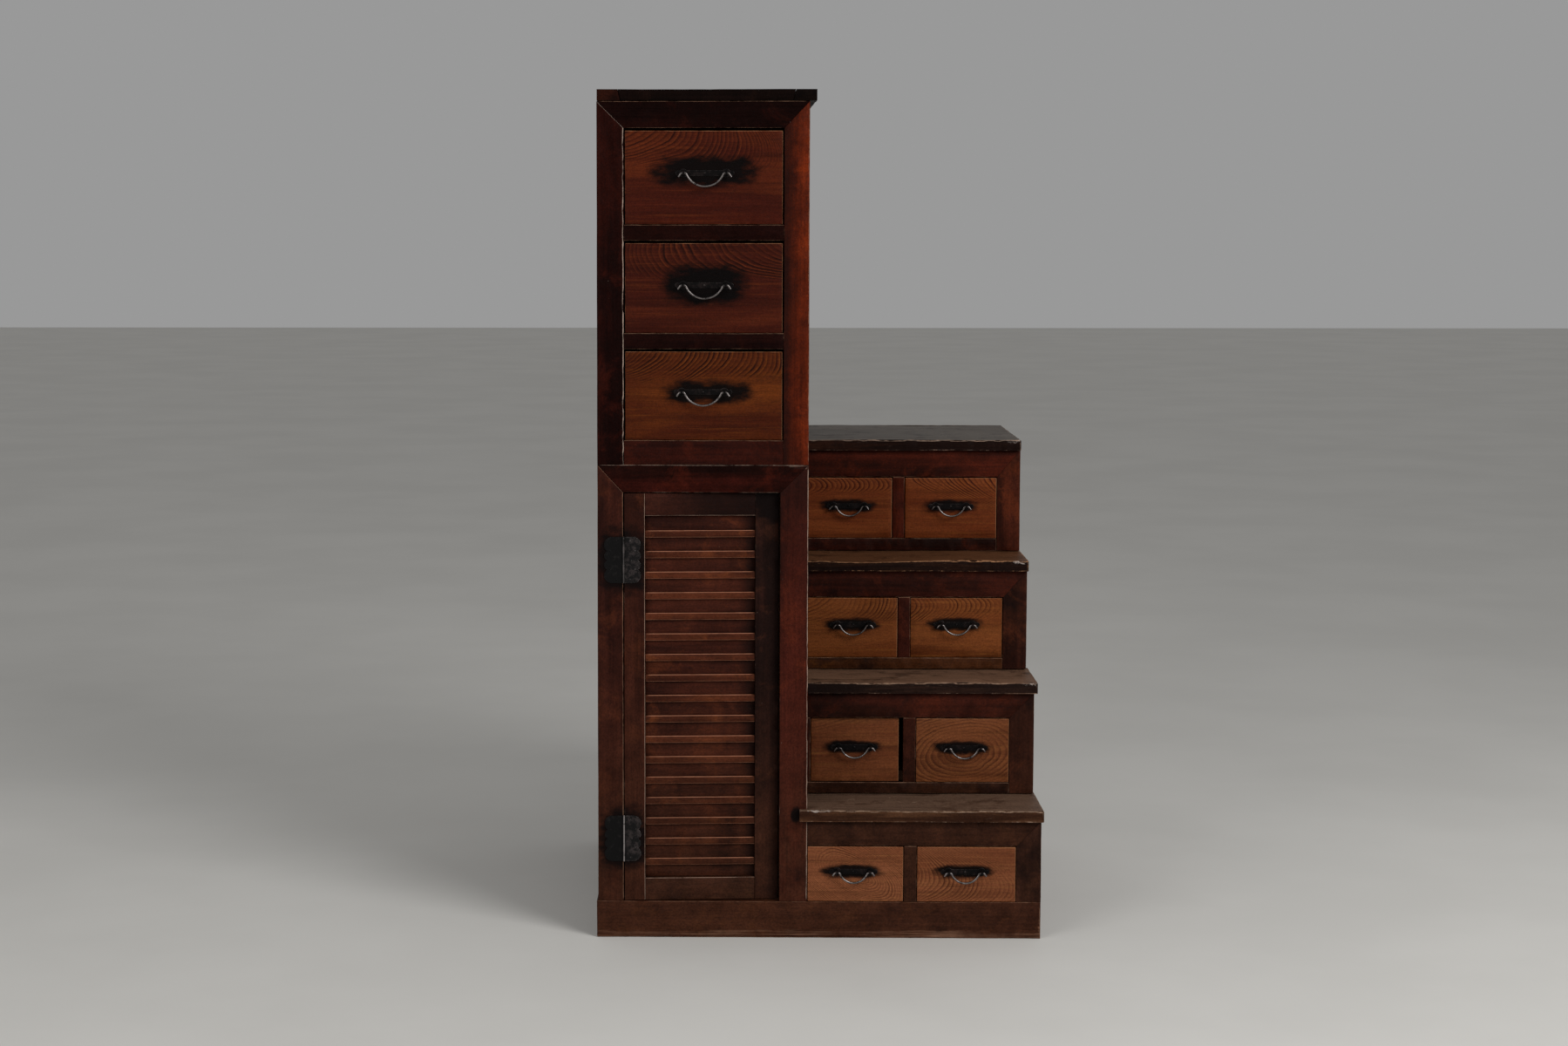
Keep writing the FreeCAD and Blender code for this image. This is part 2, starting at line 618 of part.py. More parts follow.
def door_frame():
    """Two full-height stiles with the rails between them."""
    across, height = door_opening()
    along = (FRONT, FRONT + DOOR_THICK)
    outer = Span(LOWER_OPENING.low + DOOR_SIDE_GAP, LOWER_OPENING.high - DOOR_SIDE_GAP)
    low = BASE_HEIGHT + DOOR_BOTTOM_GAP
    high = DOOR_OPENING_TOP - DOOR_TOP_GAP
    pieces = [
        board((outer.low, across.low), along, (low, high)),
        board((across.high, outer.high), along, (low, high)),
        board(across, along, (low, height.low)),
        board(across, along, (height.high, high)),
    ]
    return [turned(piece, DOOR_REST_TURN) for piece in pieces]


def door_slats():
    """The thin panel behind, and the row of battens on it."""
    across, height = door_opening()
    panel_face = FRONT + PANEL_RECESS
    pieces = [board(across, (panel_face, panel_face + PANEL_THICK), height)]
    span = height.high - height.low
    first = height.high - span * BATTEN_FIRST_SHARE
    last = height.high - span * BATTEN_LAST_SHARE
    for batten in range(BATTEN_COUNT):
        top = first + (last - first) * batten / (BATTEN_COUNT - 1)
        pieces.append(eased_board(across, (FRONT + BATTEN_RECESS, panel_face),
                                  (top - BATTEN_HEIGHT, top), BATTEN_EASE))
    return [turned(piece, DOOR_REST_TURN) for piece in pieces]


# Hinges

def hinge_floors():
    """Lower end of each hinge, the upper one first."""
    low = BASE_HEIGHT + DOOR_BOTTOM_GAP
    span = DOOR_OPENING_TOP - DOOR_TOP_GAP - low
    shares = (HINGE_UPPER_SHARE, HINGE_LOWER_SHARE)
    return [low + span * share - HINGE_HEIGHT / 2 for share in shares]


def leaf_plate(side, width, floor):
    """The scalloped sheet, from beside the knuckles out to its lobed edge; side is -1 or 1."""
    def at(reach, up):
        return FreeCAD.Vector(HINGE_X + side * reach, FRONT, floor + up)

    notches = [FreeCAD.Vector(at(width - (CORNER_DEPTH if share in (0.0, 1.0) else NOTCH_DEPTH),
                                 HINGE_HEIGHT * share)) for share in LOBE_SHARES]
    edges = [Part.LineSegment(at(LEAF_START, 0), notches[0]).toShape()]
    for low, high, start, end in zip(LOBE_SHARES, LOBE_SHARES[1:], notches, notches[1:]):
        peak = at(width, HINGE_HEIGHT * (low + high) / 2)
        edges.append(Part.Arc(start, peak, end).toShape())
    edges.append(Part.LineSegment(notches[-1], at(LEAF_START, HINGE_HEIGHT)).toShape())
    edges.append(Part.LineSegment(at(LEAF_START, HINGE_HEIGHT), at(LEAF_START, 0)).toShape())
    return Part.Face(Part.Wire(edges)).extrude(FreeCAD.Vector(0, -LEAF_THICK, 0))


def hinge_leaf(side, width, floor, first):
    """One leaf rolled into every second knuckle, bored for the pin."""
    leaf = leaf_plate(side, width, floor)
    axis = FreeCAD.Vector(0, 0, 1)
    pitch = HINGE_HEIGHT / KNUCKLE_COUNT
    for knuckle in range(first, KNUCKLE_COUNT, 2):
        low = floor + pitch * knuckle + KNUCKLE_GAP / 2
        high = floor + pitch * (knuckle + 1) - KNUCKLE_GAP / 2
        roll = Part.makeCylinder(KNUCKLE_RADIUS, high - low, FreeCAD.Vector(HINGE_X, HINGE_Y, low), axis)
        ends = sorted((HINGE_X, HINGE_X + side * (LEAF_START + LEAF_THICK)))
        tongue = board(ends, (FRONT - LEAF_THICK, FRONT), (low, high))
        leaf = leaf.fuse([roll, tongue])
    bore = Part.makeCylinder(PIN_RADIUS + PIN_CLEARANCE, HINGE_HEIGHT, FreeCAD.Vector(HINGE_X, HINGE_Y, floor),
                             axis)
    return leaf.removeSplitter().cut(bore)


def leaf_nails(side, width, floor):
    """Nail heads on a leaf."""
    heads = []
    for across, up in LEAF_NAIL_SHARES:
        point = FreeCAD.Vector(HINGE_X + side * width * across, FRONT - LEAF_THICK, floor + HINGE_HEIGHT * up)
        heads.append(nail_head(point, LEAF_NAIL_RADIUS, LEAF_NAIL_HEIGHT))
    return heads


def hinge_case_leaves():
    """The leaves on the case, their nails, and the hinge pins with their heads."""
    pieces = []
    axis = FreeCAD.Vector(0, 0, 1)
    for floor in hinge_floors():
        pieces.append(hinge_leaf(-1, CASE_LEAF_WIDTH, floor, 0))
        pin = Part.makeCylinder(PIN_RADIUS, HINGE_HEIGHT, FreeCAD.Vector(HINGE_X, HINGE_Y, floor), axis)
        head_at = FreeCAD.Vector(HINGE_X, HINGE_Y, floor + HINGE_HEIGHT)
        head = Part.makeCylinder(PIN_HEAD_RADIUS, PIN_HEAD_HEIGHT, head_at, axis)
        pieces.append(pin.fuse(head).removeSplitter())
        pieces += leaf_nails(-1, CASE_LEAF_WIDTH, floor)
    return pieces


def hinge_door_leaves():
    """The leaves on the door and their nails, turned with it."""
    pieces = []
    for floor in hinge_floors():
        pieces.append(hinge_leaf(1, DOOR_LEAF_WIDTH, floor, 1))
        pieces += leaf_nails(1, DOOR_LEAF_WIDTH, floor)
    return [turned(piece, DOOR_REST_TURN) for piece in pieces]


def main():
    """Build and write every sub-part, and print the places that joints and mounts use."""
    os.makedirs("parts", exist_ok=True)
    drawers = all_drawers()
    save("upper_top_board", upper_top_board())
    save("upper_front_frame", upper_front_frame())
    save("upper_side_boards", side_boards((SEAM_HEIGHT, CASE_TOP)))
    save("lower_side_boards", side_boards((BASE_HEIGHT, SEAM_HEIGHT)))
    save("lower_front_frame", lower_front_frame())
    save("base_rails", base_rails())
    save("cupboard_boards", cupboard_boards())
    save("back_boards", back_boards())
    save("step_treads", step_treads())
    save("step_front_frames", step_front_frames())
    save("step_side_boards", step_side_boards())
    save("drawer_floors", drawer_floors(drawers))
    save("door_frame", door_frame())
    save("door_slats", door_slats())
    save("hinge_case_leaves", hinge_case_leaves())
    save("hinge_door_leaves", hinge_door_leaves())
    bails = {handle: bail_shape(handle) for handle in (UPPER_HANDLE, STEP_HANDLE)}
    for drawer in drawers:
        save(drawer.name + "_front", drawer_front(drawer))
        save(drawer.name + "_box", drawer_box(drawer))
        save(drawer.name + "_bail", drawer_bail(drawer, bails[drawer.handle]))
        save(drawer.name + "_bail_posts", drawer_posts(drawer))
        travel = drawer.length * DRAWER_TRAVEL_SHARE
        pivot = pivot_point(drawer)
        print(drawer.name, "travel", round(travel, 1), "bail axis", [round(v, 2) for v in pivot])
    print("door pin", round(HINGE_X, 3), round(HINGE_Y, 3))


main()
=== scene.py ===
import json
import logging
import math
from dataclasses import dataclass
from enum import Enum

import bmesh
import bpy
from bpy.types import Material, NodeSocket, Object
from mathutils import Matrix, Vector


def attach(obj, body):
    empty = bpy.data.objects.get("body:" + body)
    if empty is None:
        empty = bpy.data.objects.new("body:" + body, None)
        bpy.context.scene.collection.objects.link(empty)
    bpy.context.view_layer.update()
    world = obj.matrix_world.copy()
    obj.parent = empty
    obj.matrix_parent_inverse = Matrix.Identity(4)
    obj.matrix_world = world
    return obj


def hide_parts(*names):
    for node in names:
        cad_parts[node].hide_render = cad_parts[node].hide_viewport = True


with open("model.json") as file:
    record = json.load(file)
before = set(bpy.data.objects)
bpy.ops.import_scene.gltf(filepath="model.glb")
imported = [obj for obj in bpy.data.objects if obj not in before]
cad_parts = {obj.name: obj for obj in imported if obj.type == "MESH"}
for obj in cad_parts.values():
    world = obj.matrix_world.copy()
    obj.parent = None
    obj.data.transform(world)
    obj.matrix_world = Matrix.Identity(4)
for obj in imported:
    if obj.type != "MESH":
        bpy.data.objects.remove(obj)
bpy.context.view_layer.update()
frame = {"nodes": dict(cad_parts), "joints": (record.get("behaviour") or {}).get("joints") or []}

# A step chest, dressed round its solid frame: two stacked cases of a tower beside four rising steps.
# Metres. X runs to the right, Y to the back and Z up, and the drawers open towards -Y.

LOG = logging.getLogger("step_chest")

# Camera, worked out from the photographed corners of the frame
CAMERA_PLACE = Vector((-0.2106, -5.7388, 1.4883))
CAMERA_TURN = math.radians(0.889)
CAMERA_DIP = math.radians(4.848)
CAMERA_LENS = 59.98
CAMERA_SHIFT = (0.0672, -0.0528)

# Lamps: name, place, size and power
LAMPS = (("key", Vector((3.0, -3.6, 3.4)), 2.6, 175.0), ("fill", Vector((-3.4, -4.2, 2.2)), 3.0, 80.0))
LAMPS_AIM = Vector((0, 0, 0.8))
WORLD_STRENGTH = 0.38

# The sides of the chest
FORWARD = Vector((0.0, -1.0, 0.0))
LEFT = Vector((-1.0, 0.0, 0.0))
RIGHT = Vector((1.0, 0.0, 0.0))
UP = Vector((0.0, 0.0, 1.0))
DOWN = Vector((0.0, 0.0, -1.0))

# The door stands turned in by this much at rest
DOOR_TURN = math.radians(3.0)

# A hinge leaf is wider than this, and its pins and nails are narrower
LEAF_LEAST = 0.015

# Lengths under this count as none
HAIR = 0.00001

# Normals closer than this are the same: for the arris that a wear names, and for a sawn face
ARRIS_NEAR = 0.2
FACE_NEAR = 0.01

# A side bows where its normal agrees this well with the direction of the bow
BOW_NEAR = 0.9

# A step's top rail ends this near under its tread, and its filler starts this near its left end
RAIL_NEAR = 0.004
FILLER_NEAR = 0.02

# Noise that chips an arris: name, size of its lumps, level and contrast; and the last two for a bow
CHIPS = ("chips", 0.022, 0.62, 3.4)
HOLLOWS = (1.0, 1.6)

# Iron: the bend up to which a surface is flat, the bend that is an edge, and a leaf's rounding
FLAT = math.radians(1.0)
SHARP = math.radians(40.0)
LEAF_BEVEL = 0.0011


class Grain(Enum):
    """The axis that a board's fibres follow."""

    ACROSS = 0
    DEEP = 1
    UPRIGHT = 2


class Reach(Enum):
    """How a noise pattern is stretched: cycles a metre along the fibres and across them."""

    PATCH = (1.6, 9.0)
    BAND = (2.5, 42.0)
    STREAK = (5.0, 190.0)
    PORE = (95.0, 1050.0)


@dataclass(frozen=True)
class Paint:
    """A colour as it looks, each channel from 0 to 255."""

    red: float
    green: float
    blue: float

    def linear(self) -> tuple[float, float, float, float]:
        """Return the colour in linear light."""
        return (*(self.channel(value / 255) for value in (self.red, self.green, self.blue)), 1.0)

    def times(self, red: float, green: float, blue: float) -> "Paint":
        """Return the colour with each channel scaled."""
        return Paint(self.red * red, self.green * green, self.blue * blue)

    @staticmethod
    def channel(value: float) -> float:
        """Return one channel in linear light."""
        return value / 12.92 if value <= 0.04045 else ((value + 0.055) / 1.055) ** 2.4


@dataclass(frozen=True)
class Blank:
    """The block of wood that one board is cut from."""

    low: Vector
    high: Vector

    @property
    def size(self) -> Vector:
        """Return the block's size."""
        return self.high - self.low

    @property
    def middle(self) -> Vector:
        """Return the block's centre."""
        return (self.low + self.high) / 2

    @property
    def grain(self) -> Grain:
        """Return the axis of the longest side."""
        return Grain(max(range(3), key=lambda axis: self.size[axis]))


@dataclass(frozen=True)
class Cut:
    """A saw cut through a board; what lies on the normal's side falls away."""

    point: Vector
    normal: Vector

    def other(self) -> "Cut":
        """Return the same cut for the board on its other side."""
        return Cut(self.point, -self.normal)


def mitre(blank: Blank, side: int, rail: float, stile: float) -> Cut:
    """Return the mitre of a stile at a frame's upper corner, from the outer corner to the inner one.

    Args:
        blank: The stile's block, or the rail's.
        side: -1 for the frame's left corner and 1 for its right one.
        rail: Height of the rail.
        stile: Width of the stile.

    Returns:
        The saw cut; the rail takes its other side.
    """
    corner = Vector(((blank.low if side < 0 else blank.high).x, 0, blank.high.z))
    return Cut(corner, Vector((-side * rail, 0, stile)).normalized())


def solids(node: str, turn: float = 0.0) -> list[Blank]:
    """Find the block that each solid of a node fills.

    Args:
        node: Name of the node in the frame.
        turn: Angle about the door's pin that the node stands turned by, taken out first.

    Returns:
        One block for each solid, in the order in which they were made.
    """
    mesh = frame["nodes"][node].data
    back = about_door_pin(-turn)
    places = [tuple(round(value, 5) for value in vertex.co) for vertex in mesh.vertices]
    found, corners, open_edges = [], [], set()
    for face in mesh.polygons:
        ring = [places[index] for index in face.vertices]
        corners += ring
        for start, end in zip(ring, ring[1:] + ring[:1]):
            if (end, start) in open_edges:
                open_edges.remove((end, start))
            else:
                open_edges.add((start, end))
        if not open_edges:
            moved = [back @ Vector(corner) for corner in corners]
            found.append(Blank(Vector([min(point[axis] for point in moved) for axis in range(3)]),
                               Vector([max(point[axis] for point in moved) for axis in range(3)])))
            corners = []
    return found


def leaf_middles(node: str) -> list[Vector]:
    """Return the centre of each hinge leaf in a node."""
    return [blank.middle for blank in solids(node) if blank.size.x > LEAF_LEAST]


def joint(name: str) -> dict:
    """Return the named joint of the frame."""
    return next(one for one in frame["joints"] if one["name"] == name)


def about_door_pin(angle: float) -> Matrix:
    """Return a turn about the door's hinge pin; the free edge goes inwards."""
    pin = Matrix.Translation(Vector(joint("door_hinge")["pos_m"]))
    return pin @ Matrix.Rotation(angle, 4, "Z") @ pin.inverted()


def deselect() -> None:
    """Leave nothing selected."""
    if bpy.context.object and bpy.context.object.mode != "OBJECT":
        bpy.ops.object.mode_set(mode="OBJECT")
    bpy.ops.object.select_all(action="DESELECT")


def take(piece: Object) -> None:
    """Make a piece the only one that operators act on.

    Args:
        piece: The piece to select.
    """
    deselect()
    piece.select_set(True)
    bpy.context.view_layer.objects.active = piece


def block(name: str, blank: Blank) -> Object:
    """Add a block with its place in its mesh.

    Args:
        name: The piece's name.
        blank: The space that it fills.

    Returns:
        The new object, at the origin.
    """
    deselect()
    bpy.ops.mesh.primitive_cube_add(size=1.0, location=blank.middle, scale=blank.size)
    piece = bpy.context.object
    piece.name = name
    bpy.ops.object.transform_apply(location=True, rotation=True, scale=True)
    return piece


def apply_modifiers(piece: Object) -> None:
    """Apply every modifier of a piece, in order.

    Args:
        piece: The piece that carries them.
    """
    take(piece)
    for name in [modifier.name for modifier in piece.modifiers]:
        bpy.ops.object.modifier_apply(modifier=name)


def press(piece: Object, lumps: tuple[str, float, float, float], depth: float, group: str = "") -> None:
    """Push a surface inwards where a soft noise is strong.

    Args:
        piece: The piece to wear.
        lumps: The noise's name, the size of its lumps, its level and its contrast.
        depth: How deep at most.
        group: The vertex group that may move, or all of them.
    """
    name, size, level, contrast = lumps
    texture = bpy.data.textures.get(name)
    if texture is None:
        texture = bpy.data.textures.new(name, "CLOUDS")
        texture.noise_scale, texture.noise_depth = size, 2
        texture.intensity, texture.contrast = level, contrast
        texture.use_clamp = True
    modifier = piece.modifiers.new("press", "DISPLACE")
    modifier.texture = texture
    modifier.texture_coords = "GLOBAL"
    modifier.direction = "NORMAL"
    modifier.mid_level = 0.0
    modifier.strength = -depth
    modifier.vertex_group = group


def smooth(piece: Object, degrees: float = 35.0) -> None:
    """Shade a piece smooth, apart from the edges sharper than an angle."""
    take(piece)
    bpy.ops.object.shade_smooth_by_angle(angle=math.radians(degrees))


def own(piece: Object, body: str, node: str) -> None:
    """Hand a finished piece over: it rides on its body and stands for its node.

    Args:
        piece: The finished piece.
        body: The body that it moves with.
        node: The node that it stands for.
    """
    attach(piece, body)
    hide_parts(node)
    LOG.info("%s on %s, for %s", piece.name, body, node)


@dataclass(frozen=True)
class Wear:
    """How far one arris is rounded, chipped and rubbed bare, set against a board's plain arrises."""

    toward: Vector
    round: float = 1.0
    chip: float = 1.0
    rub: float = 1.0

    def fits(self, *normals: Vector) -> bool:
        """Tell whether the arris between sides with these normals is the one meant."""
        return (sum(normals, Vector()).normalized() - self.toward.normalized()).length < ARRIS_NEAR


@dataclass(frozen=True)
class Sag:
    """A hollow that feet wore into a tread: its place along the tread, its reach and its depth."""

    place: float
    reach: float
    depth: float
    skin: float = 0.008
    run: float = 0.13


@dataclass
class Board:
    """One board: cut from its blank, its arrises eased, then bowed and chipped by use."""

    name: str
    blank: Blank
    finish: Material
    ease: float = 0.0018
    bow: float = 0.0006
    bow_size: float = 0.16
    chip: float = 0.0012
    cuts: tuple[Cut, ...] = ()
    notch: Blank | None = None
    long_pitch: float = 0.012
    wide_pitch: float = 0.024
    plain: Wear = Wear(Vector(), 0.5, 0.4, 0.42)
    joint: Wear = Wear(Vector(), 0.22, 0.1, 0.3)
    worn: tuple[Wear, ...] = ()
    bowed: tuple[Vector, ...] = ()
    sag: Sag | None = None

    def build(self) -> Object:
        """Model the board.

        Returns:
            The finished piece.
        """
        piece = block(self.name, self.blank)
        piece.data.materials.append(self.finish)
        if self.notch:
            self.saw_notch(piece)
        bpy.ops.object.mode_set(mode="EDIT")
        for cut in self.cuts:
            bpy.ops.mesh.select_all(action="SELECT")
            bpy.ops.mesh.bisect(plane_co=cut.point, plane_no=cut.normal, use_fill=True, clear_outer=True)
        bpy.ops.object.mode_set(mode="OBJECT")
        flats = [(face.center.copy(), face.normal.copy()) for face in piece.data.polygons]
        self.round_arrises(piece)
        take(piece)
        bpy.ops.object.mode_set(mode="EDIT")
        if self.notch:
            # The notched face is divided into rectangles first
            inset = self.ease * self.plain.round
            corner = Vector((self.notch.high.x + inset, self.notch.low.y - inset, 0))
            for normal in (RIGHT, FORWARD):
                bpy.ops.mesh.select_all(action="SELECT")
                bpy.ops.mesh.bisect(plane_co=corner, plane_no=normal)
        for axis in range(3):
            self.split(piece, axis)
        bpy.ops.object.mode_set(mode="OBJECT")
        self.mark_arrises(piece, flats)
        press(piece, CHIPS, self.chip, "arris")
        hollows = (f"hollows_{self.bow_size:.2f}", self.bow_size, *HOLLOWS)
        press(piece, hollows, self.bow, "bowed" if self.bowed else "")
        apply_modifiers(piece)
        if self.sag:
            self.tread_down(piece)
        smooth(piece)
        return piece

    def tread_down(self, piece: Object) -> None:
        """Hollow the top's front where feet have worn it.

        Args:
            piece: The tread.
        """
        sag = self.sag
        for vertex in piece.data.vertices:
            height = max(0.0, 1 - (self.blank.high.z - vertex.co.z) / sag.skin)
            near = max(0.0, 1 - (vertex.co.y - self.blank.low.y) / sag.run)
            aside = math.exp(-((vertex.co.x - sag.place) / sag.reach) ** 2)
            vertex.co.z -= sag.depth * near * height * aside

    def saw_notch(self, piece: Object) -> None:
        """Saw a corner out of the block.

        Args:
            piece: The block.
        """
        cutter = block(self.name + "_notch", self.notch)
        modifier = piece.modifiers.new("notch", "BOOLEAN")
        modifier.operation = "DIFFERENCE"
        modifier.solver = "EXACT"
        modifier.object = cutter
        apply_modifiers(piece)
        bpy.data.objects.remove(cutter)
        take(piece)

    def wear_between(self, *normals: Vector) -> Wear:
        """Return the wear of the arris between two sides; a joint's arris stays sharp.

        Args:
            normals: The normals of the sides that meet there.

        Returns:
            How it is rounded, chipped and rubbed.
        """
        if any((normal - cut.normal).length < FACE_NEAR for normal in normals for cut in self.cuts):
            return self.joint
        return next((wear for wear in self.worn if wear.fits(*normals)), self.plain)

    def round_arrises(self, piece: Object) -> None:
        """Round each arris as far as its wear asks.

        Args:
            piece: The sawn board.
        """
        mesh = bmesh.new()
        mesh.from_mesh(piece.data)
        weight = mesh.edges.layers.float.new("bevel_weight_edge")
        for edge in mesh.edges:
            edge[weight] = self.wear_between(*(face.normal for face in edge.link_faces)).round
        mesh.to_mesh(piece.data)
        mesh.free()
        modifier = piece.modifiers.new("ease", "BEVEL")
        modifier.limit_method = "WEIGHT"
        modifier.width = self.ease
        modifier.segments = 3
        apply_modifiers(piece)

    def split(self, piece: Object, axis: int) -> None:
        """Divide the sides along one axis, so that they can bow and chip.

        Args:
            piece: The board, in edit mode.
            axis: The axis to divide along.
        """
        length = self.blank.size[axis]
        pitch = self.long_pitch if axis == self.blank.grain.value else self.wide_pitch
        count = round(length / pitch) - 1
        if count < 1:
            return
        mesh = bmesh.from_edit_mesh(piece.data)
        bpy.ops.mesh.select_mode(type="EDGE")
        for edge in mesh.edges:
            run = edge.verts[1].co - edge.verts[0].co
            edge.select_set(abs(run[axis]) > length / 2)
        bmesh.update_edit_mesh(piece.data)
        bpy.ops.mesh.subdivide(number_cuts=count)

    def mark_arrises(self, piece: Object, flats: list[tuple[Vector, Vector]]) -> None:
        """Mark the rounded arrises, for the chips and for the rubbed finish.

        Args:
            piece: The board.
            flats: A point and a normal of each of its sides.
        """
        found, hollow = {}, []
        for vertex in piece.data.vertices:
            near = sorted((abs((vertex.co - point) @ normal), index)
                          for index, (point, normal) in enumerate(flats))
            normals = [flats[index][1] for _, index in near[:2]]
            if near[0][0] > HAIR:
                found[vertex.index] = self.wear_between(*normals)
            if any(normals[0] @ side > BOW_NEAR for side in self.bowed):
                hollow.append(vertex.index)
        rub = piece.data.attributes.new("rub", "FLOAT", "POINT")
        for index, wear in found.items():
            rub.data[index].value = wear.rub
        group = piece.vertex_groups.new(name="arris")
        for index, wear in found.items():
            group.add([index], wear.chip, "REPLACE")
        piece.vertex_groups.new(name="bowed").add(hollow, 1.0, "REPLACE")


@dataclass(frozen=True)
class Stain:
    """A soft ragged patch, its middle and how far it reaches: used for black blooms round iron, pale bitten
    patches and a painted shadow.
    """

    x: float
    z: float
    half_width: float
    half_height: float


@dataclass(frozen=True)
class PaintedShade:
    """Painted shade that fades along an axis, from where it is full to where it is gone."""

    axis: Grain
    full: float
    clear: float
    strength: float


class Level:
    """A value that varies over a surface; arithmetic with it adds nodes to its material."""

    def __init__(self, brush: "Brush", socket: NodeSocket) -> None:
        """Hold the socket that gives the value."""
        self.brush, self.socket = brush, socket

    def __add__(self, other: "Value") -> "Level":
        """Return the sum."""
        return self.brush.math("ADD", self, other)

    def __sub__(self, other: "Value") -> "Level":
        """Return the difference."""
        return self.brush.math("SUBTRACT", self, other)

    def __rsub__(self, other: float) -> "Level":
        """Return what the value leaves of a number."""
        return self.brush.math("SUBTRACT", other, self)

    def __mul__(self, other: "Value") -> "Level":
        """Return the product."""
        return self.brush.math("MULTIPLY", self, other)

    def __pow__(self, other: float) -> "Level":
        """Return the power."""
        return self.brush.math("POWER", self, other)

    def __abs__(self) -> "Level":
        """Return the size without its sign."""
        return self.brush.math("ABSOLUTE", self)

    def most(self, other: "Value") -> "Level":
        """Return the greater of two values."""
        return self.brush.math("MAXIMUM", self, other)

    def rise(self, low: float, high: float) -> "Level":
        """Return a smooth step from 0 at low to 1 at high."""
        ends = {"Value": self, "From Min": low, "From Max": high}
        return self.brush.add("MapRange", 0, ends, interpolation_type="SMOOTHSTEP")


Value = Level | Paint | float | tuple


